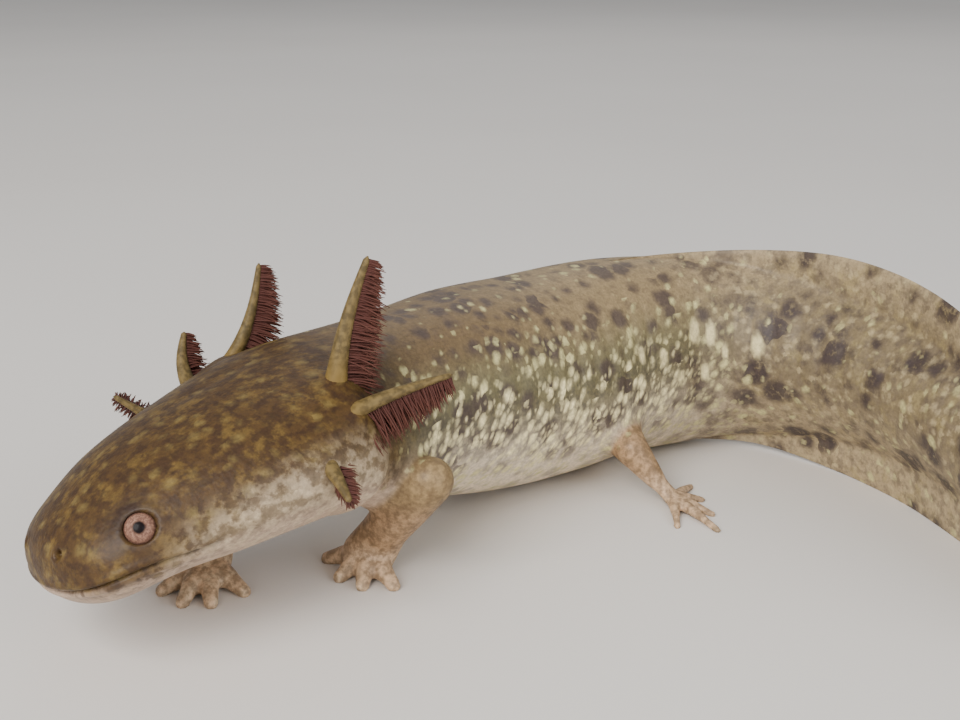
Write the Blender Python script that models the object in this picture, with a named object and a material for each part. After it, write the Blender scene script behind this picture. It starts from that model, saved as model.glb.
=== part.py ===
"""Anderson's salamander, a gilled adult, as a still life-size model.

The animal stands on the floor at z = 0. Its head points left and towards the viewer, its trunk runs
away to the right and its tail bends back towards the viewer. Lengths are in millimetres until a mesh
is made, and x runs right, y away from the viewer and z up.
"""

import math
import random

import bmesh
import bpy
import numpy as np
from mathutils import Matrix, Vector

MM = 0.001
GAP = 0.3
WELD = 0.0000015

# Spine, as named places from the snout to the end of the tail: x, y and z of the section's middle
SPINE = {
    "snout": (-45.3, 125.8, 10.7),
    "eyes": (-38.7, 132.0, 13.3),
    "cheeks": (-29.8, 140.8, 15.9),
    "gills": (-21.5, 149.5, 17.8),
    "shoulders": (-11.9, 159.6, 17.4),
    "middle": (4.4, 178.2, 14.6),
    "hips": (19.6, 189.0, 14.8),
    "tail_root": (30.0, 192.3, 14.9),
    "tail_turn": (39.3, 190.6, 15.3),
    "tail_bend": (47.6, 184.2, 15.8),
    "tail_side": (56.6, 171.8, 15.6),
    "tail_edge": (61.2, 158.6, 14.5),
    "tail_thin": (64.0, 142.0, 11.2),
    "tail_end": (66.5, 124.5, 6.2),
}

# Sections: place along the spine from the snout, half width, height above and below the middle,
# share of the upper and of the lower height that flesh fills (the rest is fin), half thickness of fin
SECTIONS = (
    (0.0, 9.6, 4.8, 4.7, 1.0, 1.0, 0.0),
    (5.0, 11.0, 6.0, 5.2, 1.0, 1.0, 0.0),
    (11.0, 13.0, 8.2, 5.6, 1.0, 1.0, 0.0),
    (18.0, 15.2, 9.5, 6.8, 1.0, 1.0, 0.0),
    (26.0, 16.6, 10.3, 7.8, 1.0, 1.0, 0.0),
    (33.0, 15.6, 10.8, 8.8, 1.0, 1.0, 0.0),
    (40.0, 12.8, 11.2, 9.8, 1.0, 1.0, 0.0),
    (50.0, 12.6, 12.2, 12.0, 1.0, 1.0, 0.0),
    (62.0, 14.2, 14.0, 13.6, 1.0, 1.0, 0.0),
    (76.0, 14.6, 14.6, 14.4, 1.0, 1.0, 0.0),
    (90.0, 12.8, 14.6, 14.6, 1.0, 1.0, 0.0),
    (101.0, 10.6, 14.6, 14.6, 0.96, 1.0, 0.6),
    (113.0, 8.4, 15.0, 14.6, 0.84, 0.9, 0.6),
    (127.0, 6.6, 15.6, 15.6, 0.68, 0.74, 0.6),
    (142.0, 5.4, 14.6, 15.6, 0.6, 0.66, 0.55),
    (158.0, 4.2, 12.2, 14.4, 0.55, 0.6, 0.5),
    (174.0, 3.0, 10.2, 11.4, 0.5, 0.54, 0.45),
    (200.0, 1.2, 5.0, 5.0, 0.44, 0.46, 0.35),
)
SNOUT_BLUNT = 9.0
SNOUT_POWER = 4.0
TAIL_BLUNT = 16.0
TAIL_POWER = 2.4
FIN_POWER = 6.0
FIN_BLEND = 4.0

# Power of the flesh's outline: a half makes an ellipse, and more runs out softly into the fin
ROUND_POWER = 0.5
SOFT_POWER = 0.55
SOFT_SPAN = 0.3

# Roll of the head about the spine, in degrees with the right side down, and where it has faded out
HEAD_ROLL = 11.0
ROLL_FULL = 20.0
ROLL_END = 46.0

SIDES = 28
GROWN_RINGS = 96
TIP_INSET = 0.12
FRAME_REACH = 0.4
HEAD_EVEN = 0.35
TIP_EVEN = 0.5

# Where the body is parted, as places along the spine, and how many rings each length has
BODY_PARTS = (
    ("head", 0.0, 39.5, 20),
    ("neck", 39.5, 46.5, 4),
    ("chest", 46.5, 61.0, 6),
    ("belly", 61.0, 80.0, 7),
    ("hips", 80.0, 101.0, 8),
    ("tail_base", 101.0, 121.0, 8),
    ("tail_middle", 121.0, 147.0, 10),
    ("tail_rear", 147.0, 172.0, 9),
    ("tail_tip", 172.0, None, 10),
)

# Head features, as places along the spine, across it and above its middle
EYE_ALONG = 8.3
EYE_ACROSS = 9.6
EYE_UP = 2.6
EYE_RADIUS = 1.75
EYE_SIDES = 20
LID_RADIUS = 2.15
LID_TUBE = 0.5
LID_OUT = 0.42
LID_SIDES = 20
LID_TUBE_SIDES = 8
NOSTRIL_ALONG = 1.5
NOSTRIL_TURN = 36.0
NOSTRIL_RADIUS = 0.55
NOSTRIL_SIDES = 10
MOUTH_CORNER = 14.0
MOUTH_DROP = -1.5
MOUTH_ARCH = 1.0
JAW_REAR = 17.0
JAW_FLOOR = -16.0
JAW_FRAME = 6.0
JAW_REACH = 26.0
MOUTH_FRONT = -4.0
MOUTH_STEPS = 12
LIP_RADIUS = 0.5
LIP_END = 0.4
LIP_LIFT = 0.3
LIP_SUNK = 0.25
LIP_START = 0.02
LIP_STEPS = 15
LIP_SIDES = 6
EYE_WAY = (0.8, 0.5, -0.33)

# Legs: joint places, then the tips of the digits, all as x, y and z
LEGS = {
    "front_left": {
        "joints": ((-12.4, 147.0, 12.4), (-5.9, 144.2, 14.0), (-11.2, 148.0, 6.4), (-13.6, 149.2, 2.2)),
        "radii": (3.3, 3.0, 2.9, 3.3),
        "tips": ((-19.3, 151.6, 0.4), (-17.2, 146.0, 0.4), (-14.0, 143.7, 0.4), (-10.0, 143.8, 0.4)),
    },
    "front_right": {
        "joints": ((-20.5, 160.5, 14.0), (-29.4, 160.0, 10.5), (-32.6, 150.8, 4.8), (-32.8, 146.6, 2.2)),
        "radii": (3.9, 3.2, 2.9, 3.0),
        "tips": ((-37.8, 142.6, 0.4), (-34.6, 139.6, 0.4), (-31.0, 139.4, 0.4), (-27.4, 142.4, 0.4)),
    },
    "hind_left": {
        "joints": ((18.0, 179.0, 9.0), (20.7, 171.4, 7.0), (24.0, 169.6, 3.2), (26.2, 168.4, 1.0)),
        "radii": (3.8, 2.4, 1.4, 1.4),
        "tips": (
            (29.6, 174.4, 0.2),
            (30.6, 169.8, 0.2),
            (31.2, 164.8, 0.2),
            (31.0, 159.8, 0.2),
            (25.8, 161.0, 0.2),
        ),
    },
    "hind_right": {
        "joints": ((14.6, 198.4, 9.0), (9.4, 206.4, 6.9), (12.4, 210.6, 3.2), (13.6, 212.4, 1.0)),
        "radii": (3.8, 2.4, 1.4, 1.4),
        "tips": (
            (7.6, 213.4, 0.2),
            (8.6, 218.2, 0.2),
            (13.0, 220.9, 0.2),
            (18.0, 219.0, 0.2),
            (19.4, 213.8, 0.2),
        ),
    },
}
LEG_NODES = {
    "front": ("upper_arm", "forearm", "hand"),
    "hind": ("thigh", "shank", "foot"),
}
LEG_SIDES = 12
STEEP = 0.2
LEG_WAIST = (0.35, 0.7)
LEG_SWELL = 0.05
PALM_FLAT = 0.72
DOME_DEGREES = (-80.0, -45.0, -15.0)
BLOCK_REACH = 40.0
DIGIT_SIDES = 8
DIGIT_RINGS = 5
DIGIT_START = 0.1
DIGIT_HEIGHT = 1.5
DIGIT_BOW = {"front": 0.4, "hind": 0.25}
DIGIT_END = 0.6
DIGIT_TAPER = 1.4
DIGIT_ROOT = {"front": 2.1, "hind": 0.85}
DIGIT_TIP = {"front": 0.78, "hind": 0.38}

# A block under the floor, which cuts the soles of the feet flat
FLOOR_LOW = (-120.0, 60.0, -20.0)
FLOOR_HIGH = (120.0, 260.0, 0.0)

# Gills: root as places along, across and above the head's middle, tip and bow as x, y and z
GILLS = {
    "gill_left_upper": ((32.4, 10.2, 5.2), (-12.3, 144.3, 40.6), (-0.7, 0.0, 0.0)),
    "gill_left_middle": ((28.6, 12.2, 4.2), (-3.1, 143.4, 27.2), (-0.3, 0.0, 0.5)),
    "gill_left_lower": ((27.3, 13.4, 2.2), (-13.4, 127.8, 18.6), (0.0, 0.0, 0.6)),
    "gill_right_upper": ((31.2, -10.8, 5.6), (-27.0, 160.5, 35.8), (1.1, 0.0, -0.6)),
    "gill_right_middle": ((30.6, -12.8, 2.6), (-37.2, 162.6, 26.4), (-1.6, 1.0, -0.4)),
    "gill_right_lower": ((29.6, -13.4, -0.6), (-45.0, 156.4, 20.0), (0.0, 0.6, -0.8)),
}
STALK_ROOT = 1.5
STALK_TIP = 0.4
STALK_FLARE = 0.5
STALK_FLARED = 0.16
STALK_SIDES = 8
STALK_RINGS = 8
STALK_REACH = 0.05
FILAMENT_STEP = 1.1
FILAMENT_LONG = 5.6
FILAMENT_SHORT = 2.2
FILAMENT_FULL = 14.0
FILAMENT_ROOT = 0.5
FILAMENT_TIP = 0.16
FILAMENT_THINNING = 1.5
FILAMENT_SPREAD = 30.0
FILAMENT_WISH = (0.56, 0.56, -0.6)
FILAMENT_DROOP = (0.0, 0.0, -0.12)
FILAMENT_FIRST = 0.19
FILAMENT_SPAN = 0.76
FILAMENT_SHIFT = 0.25

# Least and greatest of the random shares: a filament's turn, its lean along the stalk, its length
VARIED_TURN = (0.7, 1.2)
VARIED_LEAN = (0.05, 0.3)
VARIED_LENGTH = (0.85, 1.1)

COLOURS = {
    "skin": ((0.16, 0.12, 0.055, 1.0), 0.42),
    "fin": ((0.24, 0.19, 0.1, 1.0), 0.42),
    "limb": ((0.22, 0.14, 0.065, 1.0), 0.45),
    "gill": ((0.14, 0.05, 0.04, 1.0), 0.5),
    "eye": ((0.35, 0.2, 0.12, 1.0), 0.12),
}


def hermite(x, xs, ys):
    """A smooth curve through the points (xs, ys), with slopes from each point's neighbours."""
    xs = np.asarray(xs, float)
    ys = np.asarray(ys, float)
    slope = np.gradient(ys, xs, axis=0)
    i = np.clip(np.searchsorted(xs, x, side="right") - 1, 0, len(xs) - 2)
    step = xs[i + 1] - xs[i]
    t = (x - xs[i]) / step
    return (
        ys[i] * (1 + 2 * t) * (1 - t) ** 2
        + slope[i] * step * t * (1 - t) ** 2
        + ys[i + 1] * t * t * (3 - 2 * t)
        + slope[i + 1] * step * t * t * (t - 1)
    )


SPINE_POINTS = np.array(list(SPINE.values()))
SPINE_STEPS = np.linalg.norm(np.diff(SPINE_POINTS, axis=0), axis=1)
SPINE_ALONG = np.concatenate(([0.0], np.cumsum(SPINE_STEPS)))
BODY_LENGTH = float(SPINE_ALONG[-1])
SECTION_TABLE = np.array(SECTIONS)


def frame_at(along):
    """Middle of the section, its direction towards the tail, its left side and its upward direction."""
    middle = hermite(along, SPINE_ALONG, SPINE_POINTS)
    ahead = hermite(min(along + FRAME_REACH, BODY_LENGTH), SPINE_ALONG, SPINE_POINTS)
    behind = hermite(max(along - FRAME_REACH, 0.0), SPINE_ALONG, SPINE_POINTS)
    back = ahead - behind
    back /= np.linalg.norm(back)
    left = np.cross(back, (0.0, 0.0, 1.0))
    left /= np.linalg.norm(left)
    up = np.cross(left, back)
    share = min(max((ROLL_END - along) / (ROLL_END - ROLL_FULL), 0.0), 1.0)
    roll = math.radians(HEAD_ROLL) * share * share * (3 - 2 * share)
    left, up = left * math.cos(roll) + up * math.sin(roll), up * math.cos(roll) - left * math.sin(roll)
    return middle, back, left, up


def rounding(along):
    """1 along the body, falling to 0 at the snout and at the end of the tail as round ends do."""
    nose = np.clip(1 - along / SNOUT_BLUNT, 0, 1)
    end = np.clip(1 - (BODY_LENGTH - along) / TAIL_BLUNT, 0, 1)
    return np.sqrt(1 - nose**SNOUT_POWER) * np.sqrt(1 - end**TAIL_POWER)


def body_point(along, turn, grow=0.0):
    """A point of the skin: turn is 0 at the back's midline, a quarter turn on the left flank."""
    middle, _, left, up = frame_at(along)
    half, above, below, flesh_up, flesh_down, fin = hermite(
        along, SECTION_TABLE[:, 0], SECTION_TABLE[:, 1:]
    )
    shrink = float(rounding(along))
    rise = math.cos(turn)
    flesh = flesh_up if rise >= 0 else flesh_down
    power = ROUND_POWER + SOFT_POWER * min(max((1 - flesh) / SOFT_SPAN, 0.0), 1.0)
    core = half * max(0.0, 1 - (rise / flesh) ** 2) ** power
    blade = fin * math.sqrt(max(0.0, 1 - abs(rise) ** FIN_POWER))
    across = (core**FIN_BLEND + blade**FIN_BLEND) ** (1 / FIN_BLEND) if fin > 0 else core
    across = math.copysign(across, math.sin(turn)) if abs(math.sin(turn)) > 1e-9 else 0.0
    height = rise * (above if rise >= 0 else below)
    point = middle + shrink * (left * across + up * height)
    if grow:
        outward = left * math.sin(turn) + up * math.cos(turn)
        point = point + grow * outward
    return point


def body_ring(along, grow=0.0):
    ring = [body_point(along, 2 * math.pi * j / SIDES, grow) for j in range(SIDES)]
    ring = np.array(ring)
    if not grow:
        ring[:, 2] = np.maximum(ring[:, 2], 0.0)
    return ring


def new_object(name, vertices, faces, collection):
    """An object from points in millimetres and faces, with its faces turned outwards."""
    mesh = bpy.data.meshes.new(name)
    mesh.from_pydata([tuple(v) for v in np.asarray(vertices) * MM], [], faces)
    work = bmesh.new()
    work.from_mesh(mesh)
    bmesh.ops.recalc_face_normals(work, faces=work.faces)
    work.to_mesh(mesh)
    work.free()
    made = bpy.data.objects.new(name, mesh)
    collection.objects.link(made)
    return made


def loft(name, rings, collection):
    """A closed solid through rings of points. Both sides are split into triangles alike."""
    count = len(rings[0])
    vertices = np.concatenate(rings)
    faces = []
    for i in range(len(rings) - 1):
        for j in range(count):
            a = i * count + j
            b = i * count + (j + 1) % count
            c = b + count
            d = a + count
            if j < count // 2:
                faces += [(a, b, c), (a, c, d)]
            else:
                faces += [(a, b, d), (b, c, d)]
    last = (len(rings) - 1) * count
    faces.append(tuple(range(count))[::-1])
    faces.append(tuple(range(last, last + count)))
    return new_object(name, vertices, faces, collection)


def tube_rings(path, radii, sides, flat=1.0):
    """Rings round a path; flat is the share of the radius kept along the ring's upward axis."""
    rings = []
    for i, point in enumerate(path):
        ahead = path[min(i + 1, len(path) - 1)]
        behind = path[max(i - 1, 0)]
        way = ahead - behind
        way /= np.linalg.norm(way)
        side = np.cross(way, (0.0, 0.0, 1.0))
        if np.linalg.norm(side) < STEEP:
            side = np.cross(way, (0.0, 1.0, 0.0))
        side /= np.linalg.norm(side)
        up = np.cross(side, way)
        turns = 2 * math.pi * np.arange(sides) / sides
        rings.append(
            point
            + radii[i] * np.outer(np.cos(turns), side)
            + radii[i] * flat * np.outer(np.sin(turns), up)
        )
    return rings


def cut(target, cutter, operation="DIFFERENCE", solver="EXACT"):
    """One Boolean with another object, applied at once."""
    step = target.modifiers.new("cut", "BOOLEAN")
    step.operation = operation
    step.solver = solver
    step.object = cutter
    apply_modifiers(target)


def unite(target, pieces, solver="EXACT"):
    """One Boolean union on a collection of closed pieces, applied, and the pieces are removed."""
    group = bpy.data.collections.new("pieces")
    bpy.context.scene.collection.children.link(group)
    for piece in pieces:
        for owner in list(piece.users_collection):
            owner.objects.unlink(piece)
        group.objects.link(piece)
    step = target.modifiers.new("join", "BOOLEAN")
    step.operation = "UNION"
    step.solver = solver
    step.operand_type = "COLLECTION"
    step.collection = group
    apply_modifiers(target)
    for piece in pieces:
        bpy.data.objects.remove(piece)
    bpy.data.collections.remove(group)


def apply_modifiers(target):
    depsgraph = bpy.context.evaluated_depsgraph_get()
    mesh = bpy.data.meshes.new_from_object(target.evaluated_get(depsgraph))
    target.modifiers.clear()
    old = target.data
    target.data = mesh
    bpy.data.meshes.remove(old)


def keep_largest(target):
    """Leaves only the largest closed surface of a mesh, without faces that lie on each other."""
    work = bmesh.new()
    work.from_mesh(target.data)
    bmesh.ops.triangulate(work, faces=work.faces)
    bmesh.ops.remove_doubles(work, verts=work.verts, dist=WELD)
    bmesh.ops.dissolve_degenerate(work, edges=work.edges, dist=WELD)
    bmesh.ops.triangulate(work, faces=work.faces)
    same = {}
    for face in work.faces:
        same.setdefault(frozenset(face.verts), []).append(face)
    folded = [face for pair in same.values() if len(pair) > 1 for face in pair]
    bmesh.ops.delete(work, geom=folded, context="FACES")
    unseen = set(work.faces)
    shells = []
    while unseen:
        seed = unseen.pop()
        shell = [seed]
        queue = [seed]
        while queue:
            face = queue.pop()
            for edge in face.edges:
                for other in edge.link_faces:
                    if other in unseen:
                        unseen.remove(other)
                        shell.append(other)
                        queue.append(other)
        shells.append(shell)
    shells.sort(key=lambda shell: sum(f.calc_area() for f in shell))
    for shell in shells[:-1]:
        bmesh.ops.delete(work, geom=shell, context="FACES")
    loose = [v for v in work.verts if not v.link_faces]
    bmesh.ops.delete(work, geom=loose, context="VERTS")
    work.to_mesh(target.data)
    work.free()


def box_cutter(name, low, high, collection):
    corners = [(x, y, z) for x in (low[0], high[0]) for y in (low[1], high[1]) for z in (low[2], high[2])]
    faces = [(0, 1, 3, 2), (4, 6, 7, 5), (0, 4, 5, 1), (2, 3, 7, 6), (0, 2, 6, 4), (1, 5, 7, 3)]
    return new_object(name, corners, faces, collection)


def ball(name, centre, radius, collection, sides):
    mesh = bpy.data.meshes.new(name)
    work = bmesh.new()
    bmesh.ops.create_uvsphere(work, u_segments=sides, v_segments=sides * 3 // 5, radius=radius * MM)
    bmesh.ops.translate(work, verts=work.verts, vec=Vector(centre) * MM)
    work.to_mesh(mesh)
    work.free()
    made = bpy.data.objects.new(name, mesh)
    collection.objects.link(made)
    return made


def ring_stations(start, stop, count, part):
    """Places of a part's rings, closer together where the snout and the tail's end are rounded."""
    share = np.linspace(0.0, 1.0, count)
    if part == "head":
        share = HEAD_EVEN * share + (1 - HEAD_EVEN) * share**2
    if part == "tail_tip":
        share = 1 - (TIP_EVEN * (1 - share) + (1 - TIP_EVEN) * (1 - share) ** 2)
    return start + (stop - start) * share


def body_lengths(model, cutters):
    """The body's lengths, each a loft between two cuts that leave a gap, and a grown copy as cutter."""
    made = {}
    for name, start, stop, count in BODY_PARTS:
        first = start + GAP / 2 if start > 0 else TIP_INSET
        last = stop - GAP / 2 if stop else BODY_LENGTH - TIP_INSET
        rings = [body_ring(a) for a in ring_stations(first, last, count, name)]
        made[name] = loft(name, rings, model)
    places = np.linspace(TIP_INSET, BODY_LENGTH - TIP_INSET, GROWN_RINGS)
    grown = [body_ring(a, GAP) for a in places]
    shell = loft("grown_body", grown, cutters)
    return made, shell


def head_point(along, across, up):
    middle, _, left, upward = frame_at(along)
    return middle + left * across + upward * up


def mouth_point(along, across, up):
    """A point in the straight frame of the head's front, which the mouth is built in."""
    middle, back, left, upward = frame_at(JAW_FRAME)
    return middle + back * (along - JAW_FRAME) + left * across + upward * up


def mouth_outline(offset):
    """Side outline of the lower jaw's block, as along and up pairs; offset moves it outwards."""
    line = []
    for along in np.linspace(MOUTH_FRONT, MOUTH_CORNER + offset, MOUTH_STEPS + 1):
        line.append((along, mouth_height(along) + offset))
    line.append((JAW_REAR + offset, JAW_FLOOR))
    line.append((MOUTH_FRONT, JAW_FLOOR))
    return line


def jaw_block(name, offset, cutters):
    """A block through the head with the mouth's line as its upper face, square to the head's front."""
    outline = mouth_outline(offset)
    vertices = []
    for side in (-JAW_REACH, JAW_REACH):
        for along, height in outline:
            vertices.append(mouth_point(along, side, height))
    count = len(outline)
    faces = [tuple(range(count)), tuple(range(count, 2 * count))[::-1]]
    for j in range(count):
        k = (j + 1) % count
        faces.append((j, k, k + count, j + count))
    return new_object(name, vertices, faces, cutters)


def lid_ring(name, centre, outward, collection):
    """A fleshy rim round an eye, a torus whose axis points out of the head."""
    turn = np.array(Vector(outward).to_track_quat("Z", "Y").to_matrix())
    around = 2 * math.pi * np.arange(LID_SIDES) / LID_SIDES
    about = 2 * math.pi * np.arange(LID_TUBE_SIDES) / LID_TUBE_SIDES
    vertices = []
    faces = []
    for i, a in enumerate(around):
        for j, b in enumerate(about):
            reach = LID_RADIUS + LID_TUBE * math.cos(b)
            flat = np.array((reach * math.cos(a), reach * math.sin(a), LID_TUBE * math.sin(b)))
            vertices.append(turn @ flat + centre)
            k = (i + 1) % LID_SIDES * LID_TUBE_SIDES
            m = (j + 1) % LID_TUBE_SIDES
            here = i * LID_TUBE_SIDES
            faces.append((here + j, k + j, k + m, here + m))
    return new_object(name, vertices, faces, collection)


def eye_place(side):
    centre = head_point(EYE_ALONG, side * EYE_ACROSS, EYE_UP)
    _, back, left, up = frame_at(EYE_ALONG)
    outward = left * side * EYE_WAY[0] + up * EYE_WAY[1] + back * EYE_WAY[2]
    return centre, outward / np.linalg.norm(outward)


def mouth_height(along):
    """Height of the mouth's line above the head's middle, lowest at the snout and at the corner."""
    share = min(max((along - MOUTH_FRONT) / (MOUTH_CORNER - MOUTH_FRONT), 0.0), 1.0)
    return MOUTH_DROP + MOUTH_ARCH * math.sin(math.pi * share) ** 2


def surface_across(along, height):
    """Half width of the head at a height, or None where the head doesn't reach that low."""
    row = hermite(along, SECTION_TABLE[:, 0], SECTION_TABLE[:, 1:])
    shrink = float(rounding(along))
    low = shrink * row[2]
    if abs(height) >= low:
        return None
    return shrink * row[0] * math.sqrt(1 - (height / low) ** 2)


def lip_ring(name, lift, collection):
    """A slim rod along the mouth's line round the snout, from corner to corner, lift above the line."""
    side = []
    for along in MOUTH_CORNER * np.linspace(LIP_START, 1.0, LIP_STEPS) ** 2:
        height = mouth_height(along) + lift
        across = surface_across(along, height)
        if across is not None:
            side.append((along, across - LIP_SUNK, height))
    points = [mouth_point(a, w, h) for a, w, h in side[::-1]]
    points += [mouth_point(a, -w, h) for a, w, h in side]
    size = np.full(len(points), LIP_RADIUS)
    size[[0, -1]] *= LIP_END
    return loft(name, tube_rings(points, size, LIP_SIDES), collection)


def finish_head(head, model, cutters):
    """Lids, eyes in their sockets, nostrils, and the lower jaw parted from the head by the mouth."""
    rims = [lip_ring("upper_lip", GAP + LIP_LIFT, model), lip_ring("lower_lip", -LIP_LIFT, model)]
    for word, side in (("left", 1), ("right", -1)):
        centre, outward = eye_place(side)
        rims.append(lid_ring("lid_" + word, centre + outward * LID_OUT, outward, model))
    unite(head, rims)
    for word, side in (("left", 1), ("right", -1)):
        centre, outward = eye_place(side)
        ball("eye_" + word, centre, EYE_RADIUS, model, EYE_SIDES)
        socket = ball("socket_" + word, centre, EYE_RADIUS + GAP, cutters, EYE_SIDES)
        cut(head, socket)
        spot = body_point(NOSTRIL_ALONG, side * math.radians(NOSTRIL_TURN))
        hole = ball("nostril_" + word, spot, NOSTRIL_RADIUS, cutters, NOSTRIL_SIDES)
        cut(head, hole)
    jaw = head.copy()
    jaw.data = head.data.copy()
    jaw.name = "lower_jaw"
    model.objects.link(jaw)
    cut(jaw, jaw_block("jaw_inside", 0.0, cutters), "INTERSECT")
    cut(head, jaw_block("jaw_outside", GAP, cutters))
    keep_largest(jaw)
    keep_largest(head)


def capsule_rings(a, b, radius_a, radius_b, sides, flat=1.0):
    """Rings of a tapered rod with round ends, whose end domes have their middles at a and b."""
    way = (b - a) / np.linalg.norm(b - a)
    dome = np.sin(np.radians(DOME_DEGREES))
    path = [a + way * radius_a * d for d in dome]
    size = [radius_a * math.sqrt(1 - d * d) for d in dome]
    for t in LEG_WAIST:
        path.append(a + (b - a) * t)
        size.append((radius_a + (radius_b - radius_a) * t) * (1 + LEG_SWELL * math.sin(math.pi * t)))
    path += [b - way * radius_b * d for d in dome[::-1]]
    size += [radius_b * math.sqrt(1 - d * d) for d in dome[::-1]]
    return tube_rings(path, size, sides, flat)


def half_space(name, point, normal, collection):
    """A block whose one face lies in the plane through the point, on the side that the normal shows."""
    low = (-BLOCK_REACH, -BLOCK_REACH, 0.0)
    made = box_cutter(name, low, (BLOCK_REACH, BLOCK_REACH, BLOCK_REACH), collection)
    turn = Vector(normal).to_track_quat("Z", "Y").to_matrix().to_4x4()
    made.data.transform(Matrix.Translation(Vector(point) * MM) @ turn)
    return made


def make_leg(leg, plan, grown, floor, model, cutters):
    """Upper part, lower part and the hand or foot with its digits, parted where the joints bend."""
    kind = leg.split("_")[0]
    names = [leg + "_" + word for word in LEG_NODES[kind]]
    joints = [np.array(j) for j in plan["joints"]]
    radii = plan["radii"]
    ways = [(joints[i + 1] - joints[i]) / np.linalg.norm(joints[i + 1] - joints[i]) for i in range(3)]
    pieces = []
    for i, name in enumerate(names):
        flat = PALM_FLAT if i == 2 else 1.0
        rings = capsule_rings(joints[i], joints[i + 1], radii[i], radii[i + 1], LEG_SIDES, flat)
        pieces.append(loft(name, rings, model))
    digits = []
    for k, tip in enumerate(plan["tips"]):
        tip = np.array(tip)
        root = joints[3] + (tip - joints[3]) * DIGIT_START
        root[2] = min(root[2], DIGIT_HEIGHT)
        bow = np.array((0.0, 0.0, DIGIT_BOW[kind]))
        shares = np.linspace(0, 1, DIGIT_RINGS)
        path = [root + (tip - root) * t + bow * math.sin(math.pi * t) for t in shares]
        size = DIGIT_TIP[kind] + (DIGIT_ROOT[kind] - DIGIT_TIP[kind]) * (1 - shares) ** DIGIT_TAPER
        size[-1] *= DIGIT_END
        digits.append(loft(f"digit_{k}", tube_rings(path, size, DIGIT_SIDES), model))
    unite(pieces[2], digits)
    for i in (0, 1):
        bend = ways[i] + ways[i + 1]
        bend /= np.linalg.norm(bend)
        joint = joints[i + 1]
        after = half_space(f"{names[i]}_after", joint - bend * GAP / 2, bend, cutters)
        before = half_space(f"{names[i]}_before", joint + bend * GAP / 2, -bend, cutters)
        cut(pieces[i], after)
        cut(pieces[i + 1], before)
    for piece in pieces:
        cut(piece, grown)
    cut(pieces[2], floor)
    for piece in pieces:
        keep_largest(piece)
    return pieces


def filament_way(stalk_way, spread):
    """Direction of a filament: backwards and down, square to the stalk, then turned about the stalk."""
    wish = np.array(FILAMENT_WISH)
    square = wish - stalk_way * (wish @ stalk_way)
    square /= np.linalg.norm(square)
    other = np.cross(stalk_way, square)
    turn = math.radians(spread)
    return square * math.cos(turn) + other * math.sin(turn)


def make_filament(name, root, way, droop, length, collection):
    """A slim three-sided spike that starts inside the stalk and bends towards droop."""
    shares = np.array((0.0, 0.5, 1.0))
    path = [root + way * length * t + droop * length * t * t for t in shares]
    size = FILAMENT_ROOT + (FILAMENT_TIP - FILAMENT_ROOT) * shares**FILAMENT_THINNING
    return loft(name, tube_rings(path, size, 3), collection)


def make_gill(name, root, tip, bow, grown, model):
    """A tapered stalk that bows upwards, with two rows of filaments behind it, cut to the head."""
    inward = head_point(*root)
    tip = np.array(tip)
    bow = np.array(bow)
    shares = np.linspace(0, 1, STALK_RINGS)
    path = np.array([inward + (tip - inward) * t + bow * math.sin(math.pi * t) for t in shares])
    size = STALK_ROOT + (STALK_TIP - STALK_ROOT) * shares
    size = size + STALK_FLARE * np.exp(-((shares / STALK_FLARED) ** 2))
    stalk = loft(name, tube_rings(path, size, STALK_SIDES), model)
    length = np.linalg.norm(tip - inward)
    chance = random.Random(name)
    count = int(length * FILAMENT_SPAN / FILAMENT_STEP)
    droop = np.array(FILAMENT_DROOP)
    filaments = []
    for row in (-1, 1):
        for k in range(count):
            t = FILAMENT_FIRST + FILAMENT_SPAN * (k + 0.5 - FILAMENT_SHIFT * row) / count
            place = hermite(t, shares, path)
            ahead = hermite(min(t + STALK_REACH, 1.0), shares, path)
            stalk_way = ahead - hermite(t - STALK_REACH, shares, path)
            stalk_way /= np.linalg.norm(stalk_way)
            spread = row * FILAMENT_SPREAD * chance.uniform(*VARIED_TURN)
            way = filament_way(stalk_way, spread) + stalk_way * chance.uniform(*VARIED_LEAN)
            reach = FILAMENT_LONG + (FILAMENT_SHORT - FILAMENT_LONG) * t
            reach *= chance.uniform(*VARIED_LENGTH) * min(1.0, length / FILAMENT_FULL)
            filaments.append(make_filament(f"filament_{row}_{k}", place, way, droop, reach, model))
    unite(stalk, filaments)
    cut(stalk, grown)
    keep_largest(stalk)
    return stalk


def paint(name, kind):
    colour, rough = COLOURS[kind]
    material = bpy.data.materials.new(name + "_finish")
    material.use_nodes = True
    shader = material.node_tree.nodes["Principled BSDF"]
    shader.inputs["Base Color"].default_value = colour
    shader.inputs["Roughness"].default_value = rough
    shader.inputs["Metallic"].default_value = 0.0
    made = bpy.data.objects[name]
    made.data.materials.clear()
    made.data.materials.append(material)


def kind_of(name):
    if name.startswith("eye"):
        return "eye"
    if name.startswith("gill"):
        return "gill"
    if name.startswith("tail"):
        return "fin"
    if name.startswith(("front", "hind")):
        return "limb"
    return "skin"


def centre_on_floor(model):
    """Moves the model so that the middle of its box lies over the origin."""
    points = np.array([tuple(v.co) for made in model.objects for v in made.data.vertices])
    middle = (points.min(axis=0) + points.max(axis=0)) / 2
    move = Matrix.Translation((-middle[0], -middle[1], 0.0))
    for made in model.objects:
        made.data.transform(move)
    return middle


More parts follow.
